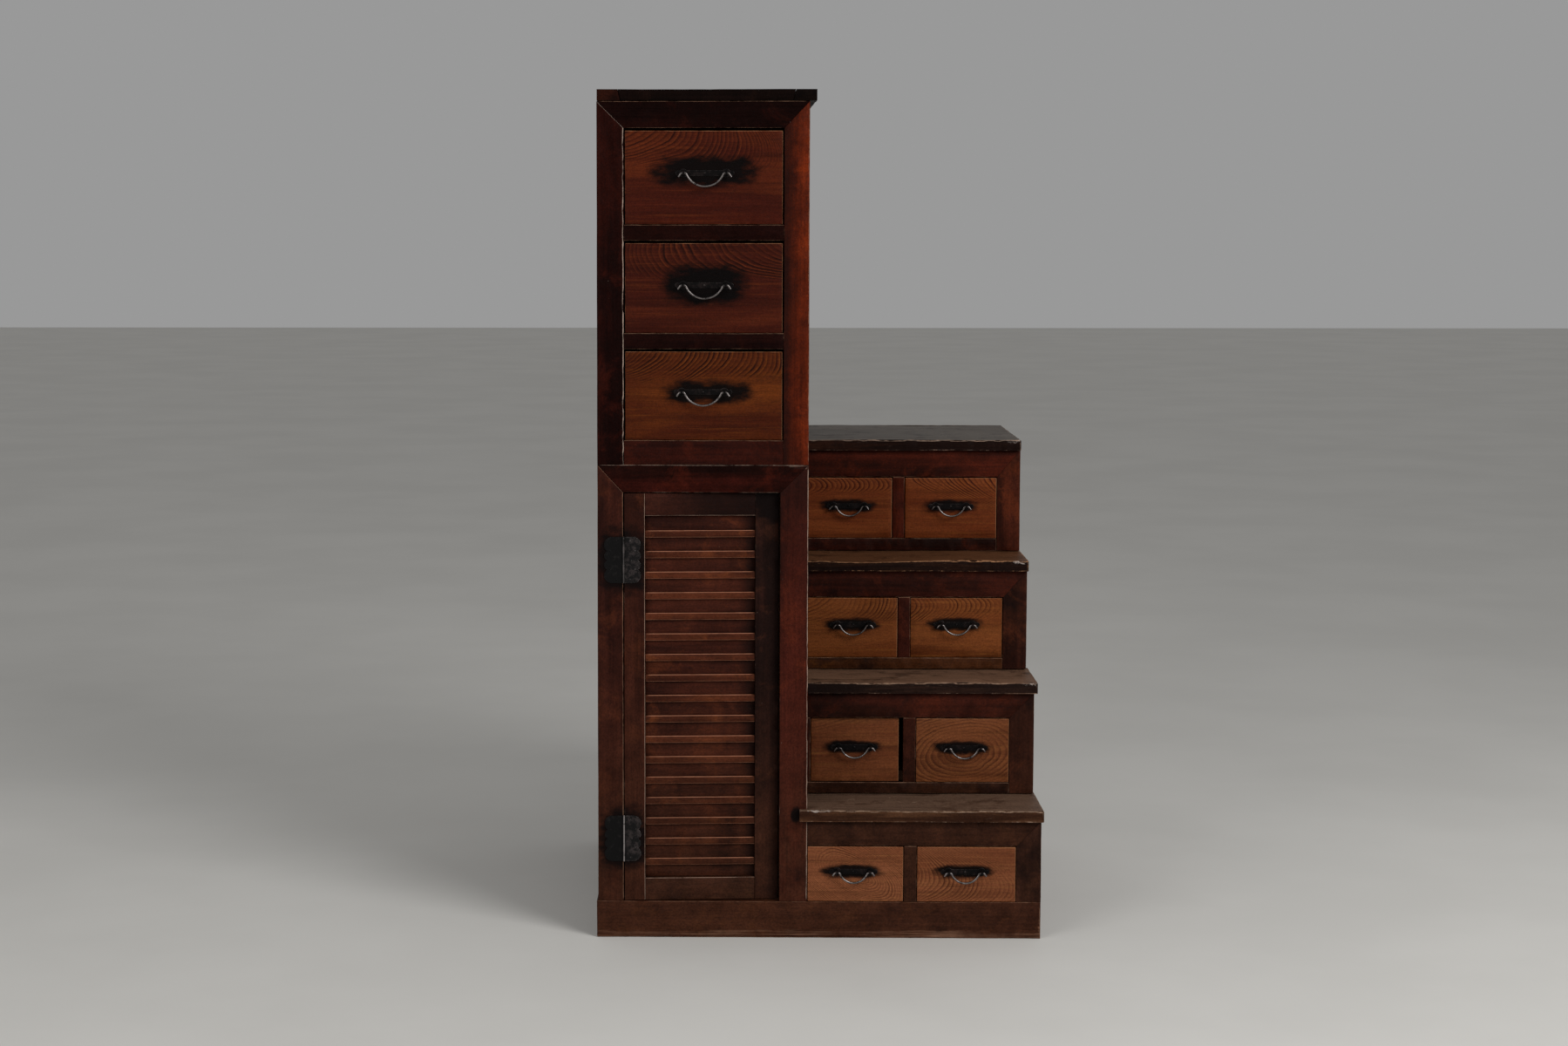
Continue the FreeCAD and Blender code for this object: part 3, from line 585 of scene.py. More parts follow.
class Brush:
    """Builds the nodes of one material, a short call for each step."""

    def __init__(self, name: str) -> None:
        """Start a material with a plain shader.

        Args:
            name: The material's name.
        """
        self.material = bpy.data.materials.new(name)
        self.material.use_nodes = True
        self.nodes = self.material.node_tree.nodes
        self.links = self.material.node_tree.links
        self.shader = self.nodes["Principled BSDF"]
        self.place = self.add("TexCoord", "Object")

    def feed(self, socket: NodeSocket, value: Value) -> None:
        """Link a socket to a value that varies, or set it.

        Args:
            socket: The input to fill.
            value: What goes in.
        """
        if isinstance(value, Level):
            self.links.new(value.socket, socket)
        else:
            socket.default_value = value.linear() if isinstance(value, Paint) else value

    def add(self, kind: str, output: int | str, inputs: dict | None = None, **settings: str) -> Level:
        """Add a node.

        Args:
            kind: The node's type.
            output: The output that is wanted.
            inputs: What goes into each input.
            settings: The node's own settings.

        Returns:
            The value that it gives.
        """
        node = self.nodes.new("ShaderNode" + kind)
        for name, value in settings.items():
            setattr(node, name, value)
        for name, value in (inputs or {}).items():
            self.feed(node.inputs[name], value)
        return Level(self, node.outputs[output])

    def math(self, operation: str, *values: Value) -> Level:
        """Return the result of a math node."""
        return self.add("Math", 0, dict(enumerate(values)), operation=operation)

    def parts(self, vector: Level) -> tuple[Level, ...]:
        """Return a vector's X, Y and Z."""
        x = self.add("SeparateXYZ", 0, {0: vector})
        return tuple(Level(self, output) for output in x.socket.node.outputs)

    def stretch(self, scale: tuple, move: tuple) -> Level:
        """Return the piece's coordinates, scaled and then moved."""
        return self.add("Mapping", 0, {"Vector": self.place, "Scale": scale, "Location": move})

    def noise(self, scale: float | tuple, move: tuple | None = None, detail: float = 3.0, rough: float = 0.55,
              warp: float = 0.0, at: Level | None = None) -> Level:
        """Return a noise from 0 to 1.

        Args:
            scale: Lumps a metre, or how far each axis is scaled.
            move: How far it is shifted, to make it differ from others.
            detail: How many finer layers it has.
            rough: How strong they are.
            warp: How far it is distorted.
            at: Where it is read, if not at the piece's own coordinates.

        Returns:
            The noise.
        """
        across = isinstance(scale, tuple)
        if move is not None:
            at = self.stretch(scale if across else (1, 1, 1), move)
        return self.add("TexNoise", "Fac", {
            "Vector": at or self.place, "Scale": 1.0 if across else scale, "Detail": detail,
            "Roughness": rough, "Distortion": warp})

    def fibres(self, grain: Grain, reach: Reach, seed: float, **settings: float) -> Level:
        """Return a noise that is drawn out along the fibres.

        Args:
            grain: The axis of the fibres.
            reach: How far it is drawn out.
            seed: What makes it differ from others.
            settings: Settings of the noise.

        Returns:
            The noise.
        """
        along, across = reach.value
        scale = tuple(along if axis == grain.value else across for axis in range(3))
        return self.noise(scale, (seed, seed * 1.7, seed * 2.3), **settings)

    def blend(self, factor: Value, first: Value, second: Value, kind: str = "MIX") -> Level:
        """Return the mix of two colours."""
        return self.add("Mix", 2, {0: factor, 6: first, 7: second}, data_type="RGBA", blend_type=kind)

    def grey(self, value: Level) -> Level:
        """Return a value as a grey colour."""
        return self.add("CombineColor", 0, {0: value, 1: value, 2: value})

    def shaded(self, tone: Level, shade: Level) -> Level:
        """Return a colour darkened, or lightened where the shade is over 1."""
        return self.blend(1.0, tone, self.grey(shade), "MULTIPLY")

    def speckled(self, tone: Level, amount: float) -> Level:
        """Return a colour broken up by fine specks, lighter and darker by up to the amount."""
        fine = self.noise(260.0, detail=3, rough=0.7).rise(0.36, 0.64)
        return self.shaded(tone, fine * (2 * amount) + (1 - amount))

    def rubbed(self, scale: float, wear: float) -> Level:
        """Return where the arrises are rubbed bare, in uneven stretches.

        Args:
            scale: How fine the stretches are.
            wear: How much of them is bare, from 0 to 1.

        Returns:
            From 0, finish, to 1, bare wood.
        """
        rub = self.add("Attribute", "Fac", attribute_name="rub")
        patchy = self.noise(scale, detail=6, rough=0.78)
        bare = (patchy + rub * (0.3 + 0.5 * wear)).rise(0.76, 1.06)
        return bare * rub.rise(0.04, 0.2)

    def bloom(self, stain: Stain, seed: float) -> Level:
        """Return the strength of a ragged patch, for stains, pale patches and a painted shadow.

        Args:
            stain: Where it is and how far it reaches.
            seed: What makes its edge differ from others.

        Returns:
            From 0, clear, to 1, black.
        """
        wide, high = stain.half_width, stain.half_height
        x, _, z = self.parts(self.stretch((1 / wide, 0.0, 1 / high), (-stain.x / wide, 0.0, -stain.z / high)))
        ragged = self.noise((26, 26, 60), (seed, 0, 0), detail=5, rough=0.62)
        level = abs(x) ** 3.0 + abs(z) ** 2.2 + (ragged - 0.5) * 2.2
        return 1.0 - level.rise(0.35, 1.5)

    def finish(self, height: Level, distance: float, strength: float, **values: Value) -> Material:
        """Give the shader its relief and its values.

        Args:
            height: The relief.
            distance: How deep it is.
            strength: How strongly it shows.
            values: The shader's inputs, with spaces as underscores.

        Returns:
            The finished material.
        """
        relief = {"Height": height, "Distance": distance, "Strength": strength}
        self.feed(self.shader.inputs["Normal"], self.add("Bump", 0, relief))
        for name, value in values.items():
            self.feed(self.shader.inputs[name.replace("_", " ")], value)
        return self.material


@dataclass(frozen=True)
class Lacquer:
    """Old lacquer: mottled in two tones, blackened in patches, faded low down, rubbed bare on its arrises,
    with painted shade from one side and painted shadow patches where asked.
    """

    name: str
    grain: Grain
    dark: Paint
    warm: Paint
    bare: Paint = Paint(132, 100, 80)
    black: Paint = Paint(14, 7, 6)
    faded: Paint = Paint(60, 33, 21)
    warmth: float = 0.5
    wear: float = 0.5
    gloom: float = 0.42
    glow: float = 0.6
    shine: float = 0.04
    seed: float = 0.0
    painted_shade: PaintedShade | None = None
    stains_and_shadows: tuple[Stain, ...] = ()
    pale: tuple[Stain, ...] = ()

    def material(self) -> Material:
        """Mix the finish.

        Returns:
            The material.
        """
        brush, grain, seed = Brush(self.name), self.grain, self.seed
        patch = brush.fibres(grain, Reach.PATCH, seed, detail=4, rough=0.6, warp=0.4)
        band = brush.fibres(grain, Reach.BAND, seed + 3, detail=3)
        streak = brush.fibres(grain, Reach.STREAK, seed + 5, detail=4, rough=0.65)
        pore = brush.fibres(grain, Reach.PORE, seed + 9, detail=1)
        mottle = brush.noise(19.0, (seed + 7, 0, 0), detail=6, rough=0.7)
        cloud = brush.noise(6.5, (0, seed, 3), detail=5, rough=0.66)
        place = brush.parts(brush.place)

        # Two tones in patches, glowing in places and faded low down
        level = 0.72 - 0.44 * self.warmth
        mixed = patch + (band - 0.5) * 0.5
        tone = brush.blend(mixed.rise(level - 0.14, level + 0.14), self.dark, self.warm)
        ember = brush.noise(12.0, (seed, 9, 4), detail=5, rough=0.7, warp=0.6).rise(0.5, 0.68)
        tone = brush.blend(ember * self.glow, tone, self.warm.times(1.32, 1.4, 1.2))
        low = 1.0 - place[2].rise(0.05, 0.62)
        tone = brush.blend(low * (mottle + 0.1), tone, self.faded)
        tone = brush.shaded(tone, (mottle * 1.3 + streak - 0.15).most(0.35))
        tone = brush.speckled(tone, 0.17)

        # Dirt in clouds and stains round iron, with painted shade from one side and painted shadow patches
        dirt = cloud.rise(0.66 - 0.24 * self.gloom, 0.86 - 0.24 * self.gloom) * 0.75
        # Painted shade: darker towards one side, where the piece asks for it
        if self.painted_shade:
            reach = place[self.painted_shade.axis.value] + mottle * 0.02
            side = 1.0 - reach.rise(self.painted_shade.full + 0.01, self.painted_shade.clear + 0.01)
            dirt = dirt.most(side * self.painted_shade.strength)
        for stain in self.stains_and_shadows:
            dirt = dirt.most(brush.bloom(stain, seed))
        tone = brush.blend(dirt, tone, self.black)

        # Dark pores and specks, then scratches and nicks down to the wood
        pits = pore.rise(0.58, 0.7).most(brush.noise(150.0, detail=3, rough=0.8).rise(0.6, 0.7))
        tone = brush.blend(pits * 0.34, tone, self.black)
        scratches = brush.fibres(grain, Reach.STREAK, seed + 21, detail=6, rough=0.85, warp=1.2)
        nicks = brush.noise(150.0, (seed, 2, 2), detail=2).rise(0.78, 0.82)
        tone = brush.blend(nicks.most(scratches.rise(0.7, 0.76)) * 0.4, tone, self.bare)

        # Arrises and bitten patches rubbed bare
        worn = brush.rubbed(26.0, self.wear)
        for area in self.pale:
            bitten = brush.bloom(area, seed) * streak.rise(0.4, 0.62)
            worn = worn.most(bitten * cloud.rise(0.35, 0.7))
        tone = brush.blend(worn, tone, self.bare)
        return brush.finish(streak + mottle - pits, 0.0005, 0.45, Base_Color=tone,
                            Roughness=streak * 0.22 + 0.36 + worn * 0.2, Specular_IOR_Level=self.shine)


@dataclass(frozen=True)
class Figure:
    """How the growth rings cross one drawer front: nested flames, or ovals, about a leaning axis.

    The axis crosses the front's middle at a share `apex` of its height and rises by `lean`. Flames point
    right where `heading` is 1 and left where it is -1. Rings are `spacing` apart near the outermost one, and
    spread further in where `growth` is under 1: `measured` says how far in their spacing holds. They start
    `outset` beyond the front's end and fade out `reach` below its top.
    """

    apex: float
    heading: int
    bend: float
    spacing: float
    lean: float = 0.0
    reach: float = 0.06
    growth: float = 1.0
    depth: float = 0.66
    oval: bool = False
    outset: float = 0.012
    measured: float = 0.03


@dataclass(frozen=True)
class FiguredFront:
    """Hardwood with bold rings under thin lacquer, stained black round its iron handle."""

    name: str
    blank: Blank
    figure: Figure
    ground: Paint
    line: Paint
    light: Paint
    stain: Stain
    seed: float
    bare: Paint = Paint(150, 104, 74)
    black: Paint = Paint(5, 4, 4)

    def rings(self, brush: Brush) -> tuple[Level, Level]:
        """Draw the rings.

        Args:
            brush: The material's brush.

        Returns:
            The darkness of the late wood and the lightness of the early wood beside it.
        """
        figure, blank, seed = self.figure, self.blank, self.seed

        # Distance in from the outermost ring, which wanders a little
        axis = blank.low.z + blank.size.z * figure.apex
        across, _, up = brush.parts(brush.stretch((1, 1, 1), (-blank.middle.x, 0, -axis)))
        wander = brush.noise((9, 9, 20), (seed, 0, 0), detail=2)
        up = up + (wander - 0.5) * 0.012 - across * figure.lean
        squared = up * up * figure.bend
        if figure.oval:
            ring = brush.math("SQRT", across * across + squared)
        else:
            vertex = across * figure.heading + squared
            ring = (blank.size.x / 2 + figure.outset - vertex).most(0.0)
        beyond = ring.rise(0.0, 0.008)
        if figure.growth != 1.0:
            ring = ring ** figure.growth

        # Years, uneven in width and in strength
        near_edge = figure.measured ** (1 - figure.growth) / (figure.spacing * figure.growth)
        uneven = brush.noise((7, 7, 7), (seed + 4, 0, 0), detail=2)
        jitter = brush.noise((30, 30, 44), (seed, 0, 9), detail=3)
        phase = ring * near_edge + uneven * 4.0 + jitter * 0.5
        turn = brush.math("FRACT", phase)
        year = brush.grey(brush.math("FLOOR", phase) * 0.83 + seed)
        season = brush.noise(1.0, detail=0, at=year).rise(0.3, 0.7)
        late = (turn.rise(0.42, 0.84) - turn.rise(0.88, 1.0)) * (season + 0.45)
        early = (turn.rise(0.0, 0.08) - turn.rise(0.1, 0.4)) * (season + 0.35)

        # Shown near the top only, and more in some places than in others
        soft = brush.noise((14, 14, 14), (seed + 8, 0, 0), detail=3)
        drop = blank.high.z - brush.parts(brush.place)[2] + (soft - 0.5) * 0.07
        shown = 1.0 - drop.rise(figure.reach * 0.75, figure.reach * 1.25)
        coarse = brush.noise((11, 11, 11), (seed + 1, 3, 0), detail=2)
        shown = shown * (beyond * figure.depth) * (coarse.rise(0.34, 0.62) + 0.4)
        return late * shown, early * shown

    def material(self) -> Material:
        """Mix the finish.

        Returns:
            The material.
        """
        brush, grain, seed = Brush(self.name), Grain.ACROSS, self.seed
        late, early = self.rings(brush)
        patch = brush.fibres(grain, Reach.PATCH, seed, detail=4, warp=0.5)
        band = brush.fibres(grain, Reach.BAND, seed + 2, detail=4, rough=0.6)
        streak = brush.fibres(grain, Reach.STREAK, seed + 4, detail=5, rough=0.75)
        pore = brush.fibres(grain, Reach.PORE, seed + 6, detail=2)
        fine = brush.fibres(grain, Reach.STREAK, seed + 14, detail=3, rough=0.6)
        olive = self.light.times(1.06, 1.15, 1.06)

        # The ground with its bands, then the rings, the pores and the stain
        tone = brush.blend(patch.rise(0.36, 0.66), self.ground, self.light)
        tone = brush.blend(band.rise(0.42, 0.74) * 0.55, tone, self.line)
        tone = brush.blend(fine.rise(0.52, 0.72) * 0.5, tone, olive)
        tone = brush.blend(early * 0.75, tone, olive)
        tone = brush.shaded(brush.blend(late, tone, self.line), streak * 0.9 + 0.56)
        pits = pore.rise(0.56, 0.68)
        tone = brush.speckled(brush.blend(pits * 0.4, tone, self.line), 0.13)
        tone = brush.blend(brush.bloom(self.stain, seed) * 0.98, tone, self.black)
        tone = brush.blend(brush.rubbed(30.0, 0.75), tone, self.bare)
        return brush.finish(streak * 0.6 - (late + pits), 0.0004, 0.4, Base_Color=tone,
                            Roughness=streak * 0.2 + 0.38, Specular_IOR_Level=0.04)


@dataclass(frozen=True)
class Tread:
    """A stained tread: dull and scratched where feet go, its top lighter by wear and by a painted sheen, its
    front arris rubbed to bare wood.
    """

    front: Paint
    streaks: Paint
    # The top's tone: worn finish with a painted sheen
    top: Paint
    bare: Paint
    wear: float
    sag: Sag | None = None
    dirt: Paint = Paint(24, 15, 11)
    bitten: Paint = Paint(172, 160, 152)

    def material(self, name: str, edge: float, pale: Stain, seed: float) -> Material:
        """Mix the finish.

        Args:
            name: The material's name.
            edge: Where the tread's front is.
            pale: The patch that is bitten to pale wood.
            seed: What makes it differ from the other treads.

        Returns:
            The material.
        """
        brush, grain = Brush(name), Grain.ACROSS
        patch = brush.fibres(grain, Reach.PATCH, seed, detail=4, rough=0.6)
        band = brush.fibres(grain, Reach.BAND, seed + 2, detail=5, rough=0.65, warp=0.3)
        streak = brush.fibres(grain, Reach.STREAK, seed + 4, detail=5, rough=0.75)
        pore = brush.fibres(grain, Reach.PORE, seed + 6, detail=1)
        blotch = brush.noise(16.0, (seed, 6, 0), detail=6, rough=0.72)
        ragged = brush.noise((34, 90, 90), (seed, 0, 0), detail=5, rough=0.75, warp=1.0)
        long = brush.noise((9, 160, 160), (seed, 5, 0), detail=6, rough=0.8, warp=1.5)
        flecks = brush.noise((60, 60, 120), (seed, 7, 0), detail=6, rough=0.8, warp=1.0)
        upward = brush.parts(brush.add("NewGeometry", "Normal"))[2].rise(0.55, 0.9)
        back = brush.parts(brush.place)[1] - edge

        # A dark front and a lighter top, worn dull and with a painted sheen; dirt in bands and blotches
        face = brush.blend(band.rise(0.46, 0.68), self.front, self.streaks)
        tone = brush.speckled(brush.blend(upward, face, self.top), 0.14)
        tone = brush.shaded(tone, (streak * 1.2 + patch * 0.6 + 0.1).most(0.35))
        tone = brush.blend(band.rise(0.5, 0.7) * (upward * 0.55), tone, self.dirt)
        tone = brush.blend(blotch.rise(0.5, 0.66) * 0.55, tone, self.front)

        # Rubbed along its front, scuffed, flecked and bitten
        rubbed = (1.0 - back.rise(0.002, 0.014)) * upward * ragged.rise(0.46, 0.6)
        worn = rubbed.most(brush.rubbed(62.0, 0.45 + 0.5 * self.wear))
        tone = brush.blend(worn * 0.9, tone, self.bare)
        tone = brush.blend(long.rise(0.61, 0.72) * 0.34, tone, self.bare)
        tone = brush.blend(flecks.rise(0.6, 0.72) * upward, tone, self.bare)
        bitten = brush.bloom(pale, seed) * flecks.rise(0.5, 0.62) * (0.8 - back.rise(0.004, 0.016))
        tone = brush.blend(bitten.most(0.0), tone, self.bitten)
        return brush.finish(streak + band - pore.rise(0.6, 0.72), 0.0007, 0.55, Base_Color=tone,
                            Roughness=streak * 0.25 + 0.34, Specular_IOR_Level=0.04)


@dataclass(frozen=True)
class BareWood:
    """Unfinished softwood inside and behind, browned with age."""

    name: str
    grain: Grain
    pale: Paint
    dark: Paint
    seed: float = 0.0

    def material(self) -> Material:
        """Mix the finish.

        Returns:
            The material.
        """
        brush = Brush(self.name)
        patch = brush.fibres(self.grain, Reach.PATCH, self.seed, detail=4, rough=0.6, warp=0.3)
        band = brush.fibres(self.grain, Reach.BAND, self.seed + 2, detail=3, warp=0.6)
        streak = brush.fibres(self.grain, Reach.STREAK, self.seed + 4, detail=4, rough=0.7)
        tone = brush.blend((patch * 0.5 + band * 0.5).rise(0.36, 0.64), self.pale, self.dark)
        tone = brush.shaded(tone, streak * 0.45 + 0.78)
        return brush.finish(streak + band, 0.0005, 0.5, Base_Color=tone, Roughness=0.72,
                            Specular_IOR_Level=0.2)


@dataclass(frozen=True)
class Iron:
    """Forged iron, blackened, or polished by hands where it is handled; a hinge's iron carries a painted
    highlight along its knuckles.
    """

    name: str
    dark: Paint
    bright: Paint
    metal: float
    rough: float
    shine: float = 0.5
    specular: float = 0.5
    highlight_crest: float | None = None
    glint: Paint = Paint(126, 119, 117)

    def material(self) -> Material:
        """Mix the finish.

        Returns:
            The material.
        """
        brush = Brush(self.name)
        hammered = brush.noise(190.0, detail=3)
        rust = brush.noise(75.0, detail=6, rough=0.75)
        start = 0.62 - 0.3 * self.shine
        tone = brush.blend(rust.rise(start, start + 0.16), self.dark, self.bright)
        if self.highlight_crest is not None:
            # A painted highlight along the knuckles' crest, strongest low down
            x, _, z = brush.parts(brush.place)
            line = (1.0 - abs(x - self.highlight_crest).rise(0.0006, 0.0018)) * (1.0 - z.rise(0.3, 0.7) * 0.75)
            tone = brush.blend(line * rust.rise(0.3, 0.5), tone, self.glint)
        return brush.finish(hammered, 0.0004, 0.7, Base_Color=tone, Metallic=self.metal,
                            Roughness=hammered * 0.25 + (self.rough - 0.12),
                            Specular_IOR_Level=self.specular)


class Finishes:
    """Every shared finish of the chest."""

    def __init__(self) -> None:
        """Make the finishes that more than one piece takes."""
        pin = joint("door_hinge")["pos_m"][0]
        self.side = Lacquer("side_lacquer", Grain.UPRIGHT, Paint(34, 14, 10), Paint(58, 24, 14),
                            seed=2.0).material()
        self.back = BareWood("back_planks", Grain.ACROSS, Paint(92, 64, 44), Paint(58, 38, 26)).material()
        self.box = BareWood("drawer_box_wood", Grain.DEEP, Paint(138, 102, 66), Paint(108, 74, 46),
                            5.0).material()
        self.inside = BareWood("inside_wood", Grain.DEEP, Paint(96, 66, 44), Paint(64, 42, 28),
                               8.0).material()
        self.iron = Iron("blackened_iron", Paint(8, 6, 6), Paint(26, 19, 18), 0.0, 0.55,
                         specular=0.06).material()
        self.edge = Iron("rubbed_iron_edges", Paint(20, 17, 17), Paint(64, 58, 56), 0.3, 0.45, 0.6,
                         0.2).material()
        # The hinges' iron has a painted highlight along the knuckles, at the pin
        self.hinge = Iron("hinge_iron", Paint(8, 7, 7), Paint(24, 22, 21), 0.0, 0.5, 0.3, 0.1,
                          pin).material()
        self.door_leaf = Iron("door_leaf_iron", Paint(11, 10, 10), Paint(46, 40, 39), 0.0, 0.5, 0.55, 0.12,
                              pin).material()
        self.leaf_edge = Iron("hinge_edges", Paint(44, 41, 40), Paint(124, 118, 115), 0.2, 0.45, 0.7,
                              0.2).material()
        self.wire = Iron("handled_iron", Paint(54, 50, 49), Paint(116, 110, 108), 1.0, 0.36, 0.9).material()


@dataclass
class CaseFront:
    """The mitred frame on the front of one tower case, with any rails inside it."""

    case: str
    left_finish: Lacquer
    right_finish: Lacquer
    rail_finish: Lacquer
    inner_finish: Lacquer | None = None
    low_finish: Lacquer | None = None
    # The left stile's inner arris is painted pale: rubbed bare, and a painted highlight of the light from the
    # right
    inner_arris: Wear = Wear(RIGHT + FORWARD, 0.6, 0.3, 0.9)
    outer_rub: float = 0.98

    def build(self) -> None:
        """Model and dress each board of the frame."""
        rail, left, right, *inner = solids(self.case + "_front_frame")
        ends = (mitre(rail, -1, rail.size.z, left.size.x), mitre(rail, 1, rail.size.z, right.size.x))
        under, over = Wear(DOWN + FORWARD, 0.6, 0.8, 0.74), Wear(UP + FORWARD, 0.7, 0.9, 0.86)
        self.dress("top_rail", rail, self.rail_finish, worn=(under, over),
                   cuts=tuple(end.other() for end in ends))
        self.dress("left_stile", left, self.left_finish, ease=0.0030, chip=0.0040,
                   plain=Wear(Vector(), 0.3, 0.15, 0.45), worn=(self.inner_arris,),
                   joint=Wear(Vector(), 0.3, 0.1, 0.95), cuts=(mitre(left, -1, rail.size.z, left.size.x),))
        self.dress("right_stile", right, self.right_finish, ease=0.0028, chip=0.0024,
                   plain=Wear(Vector(), 0.35, 0.25, 0.45),
                   worn=(Wear(RIGHT + FORWARD, 0.9, 0.9, self.outer_rub), Wear(UP + RIGHT)),
                   cuts=(mitre(right, 1, rail.size.z, right.size.x),))
        for number, blank in enumerate(inner):
            lowest = blank.low.z == min(other.low.z for other in inner)
            finish = self.low_finish if lowest else self.inner_finish
            self.dress(f"rail_{number + 1}", blank, finish, worn=(under, over))

    def dress(self, name: str, blank: Blank, finish: Lacquer, **settings: object) -> None:
        """Build one board of the frame and hand it over.

        Args:
            name: The board's name in this case.
            blank: Its block.
            finish: Its finish.
            settings: The board's other fields.
        """
        piece = Board(f"{self.case}_case_{name}", blank, finish.material(), **settings).build()
        own(piece, "root", self.case + "_front_frame")


def tower_fronts() -> tuple[CaseFront, CaseFront]:
    """Return the fronts of the tower's two cases, each with its own finishes.

    Returns:
        The upper front and the lower one.
    """
    across, upright = Grain.ACROSS, Grain.UPRIGHT
    stile = solids("upper_front_frame")[2]
    lower_rail, _, right_stile = solids("lower_front_frame")
    nosing = solids("step_treads")[0]
    halos = tuple(Stain(leaf.x + 0.006, leaf.z, 0.040, 0.068) for leaf in leaf_middles("hinge_case_leaves"))
    smudge = Stain(nosing.low.x - 0.007, nosing.middle.z, 0.011, 0.017)
    corner = Stain(lower_rail.high.x - 0.012, lower_rail.high.z, 0.03, 0.008)
    top = right_stile.high.z
    upper = CaseFront(
        "upper",
        Lacquer("upper_left_stile", upright, Paint(18, 5, 4), Paint(38, 11, 7), Paint(166, 146, 132),
                warmth=0.45, gloom=0.3, shine=0.02),
        # Its inner side, beside the recessed drawers, is darkened with painted shade
        Lacquer("upper_right_stile", upright, Paint(44, 12, 5), Paint(80, 26, 8), seed=4.0, gloom=0.3,
                painted_shade=PaintedShade(across, stile.low.x, stile.high.x - 0.012, 0.75)),
        Lacquer("upper_top_rail", across, Paint(15, 4, 3), Paint(31, 9, 6), seed=6.0, gloom=0.3, shine=0.02),
        Lacquer("upper_mid_rails", across, Paint(11, 3, 3), Paint(24, 7, 5), seed=8.0, gloom=0.3, shine=0.02),
        Lacquer("upper_bottom_rail", across, Paint(24, 6, 4), Paint(48, 15, 8), seed=9.0),
        # Inner arris: rubbed bare, and a painted highlight of the light from the right
        Wear(RIGHT + FORWARD, rub=0.95), 0.72)
    lower = CaseFront(
        "lower",
        Lacquer("lower_left_stile", upright, Paint(30, 11, 8), Paint(54, 24, 16), seed=12.0, stains_and_shadows=halos),
        # This stile is darker towards its top
        Lacquer("lower_right_stile", upright, Paint(34, 11, 7), Paint(60, 22, 14), Paint(152, 130, 116),
                seed=14.0, stains_and_shadows=(smudge,), pale=(corner,), painted_shade=PaintedShade(upright, top, top - 0.34, 0.58)),
        Lacquer("lower_top_rail", across, Paint(20, 6, 4), Paint(46, 14, 9), Paint(150, 128, 114),
                warmth=0.55, seed=16.0, shine=0.02, pale=(corner,)))
    return upper, lower


@dataclass
class Carcass:
    """The tower's top board, the side boards, the base rails and the back."""

    finishes: Finishes
    top_end: float = 0.046
    top_slant: float = 0.006

    def build(self) -> None:
        """Model and dress every board of the carcass."""
        self.top_board()
        self.base()
        for case in ("lower", "upper"):
            node = case + "_side_boards"
            for side, blank in zip(("left", "right"), solids(node)):
                self.panel(f"{case}_{side}_side", blank, self.finishes.side, node)
        for number, blank in enumerate(solids("step_side_boards")):
            self.panel(f"step_{number + 1}_side", blank, self.finishes.side, "step_side_boards")
        for number, blank in enumerate(solids("back_boards")):
            self.panel(f"back_plank_{number + 1}", blank, self.finishes.back, "back_boards", "inner_wood")
        for node in ("cupboard_boards", "drawer_floors"):
            materials = frame["nodes"][node].data.materials
            materials.clear()
            materials.append(self.finishes.inside)

    @staticmethod
    def panel(name: str, blank: Blank, finish: Material, node: str,
              slot: str = "lacquered_case") -> None:
        """Model and dress one large plain board.

        Args:
            name: The board's name.
            blank: Its block.
            finish: Its material.
            node: The node that it stands for.
            slot: The record's material slot; not used.
        """
        own(Board(name, blank, finish, wide_pitch=0.06, long_pitch=0.03).build(), "root", node)

    def base(self) -> None:
        """Model the base rails; the front one is rubbed along the floor."""
        rubbed = (Stain(0.0, 0.002, 0.6, 0.014), Stain(0.461, 0.02, 0.009, 0.03))
        front = Lacquer("base_front", Grain.ACROSS, Paint(38, 18, 11), Paint(62, 33, 20), Paint(112, 80, 62),
                        wear=0.6, seed=11.0, pale=rubbed).material()
        worn = (Wear(DOWN + FORWARD, rub=0.8), Wear(RIGHT + FORWARD, rub=0.9),
                Wear(UP + FORWARD, 0.5, 0.5, 0.72))
        for name, blank in zip(("front", "back", "left", "right", "middle"), solids("base_rails")):
            rail = Board("base_rail_" + name, blank, front if name == "front" else self.finishes.side,
                         chip=0.003, ease=0.003, plain=Wear(Vector(), 0.4, 0.4, 0.5), worn=worn)
            own(rail.build(), "root", "base_rails")

    def top_board(self) -> None:
        """Model the top board, with an end block let in at each side on a slanted joint."""
        blank = solids("upper_top_board")[0]
        slant = Vector((blank.size.z, 0, self.top_slant)).normalized()
        lean = Vector((blank.size.z, 0, -self.top_slant)).normalized()
        first = Cut(Vector((blank.low.x + self.top_end, 0, blank.middle.z)), slant)
        last = Cut(Vector((blank.high.x - self.top_end, 0, blank.middle.z)), lean)
        parts = (("top_board_left_end", (first,), Grain.DEEP, Paint(15, 6, 4), Paint(34, 13, 8)),
                 ("top_board", (first.other(), last), Grain.ACROSS, Paint(8, 4, 3), Paint(18, 8, 6)),
                 ("top_board_right_end", (last.other(),), Grain.DEEP, Paint(6, 3, 3), Paint(14, 7, 5)))
        for name, cuts, grain, dark, warm in parts:
            finish = Lacquer(name, grain, dark, warm, Paint(96, 60, 42), shine=0.02, seed=len(name))
            board = Board(name, blank, finish.material(), cuts=cuts, bow=0.0022, chip=0.0016, ease=0.0016)
            own(board.build(), "root", "upper_top_board")


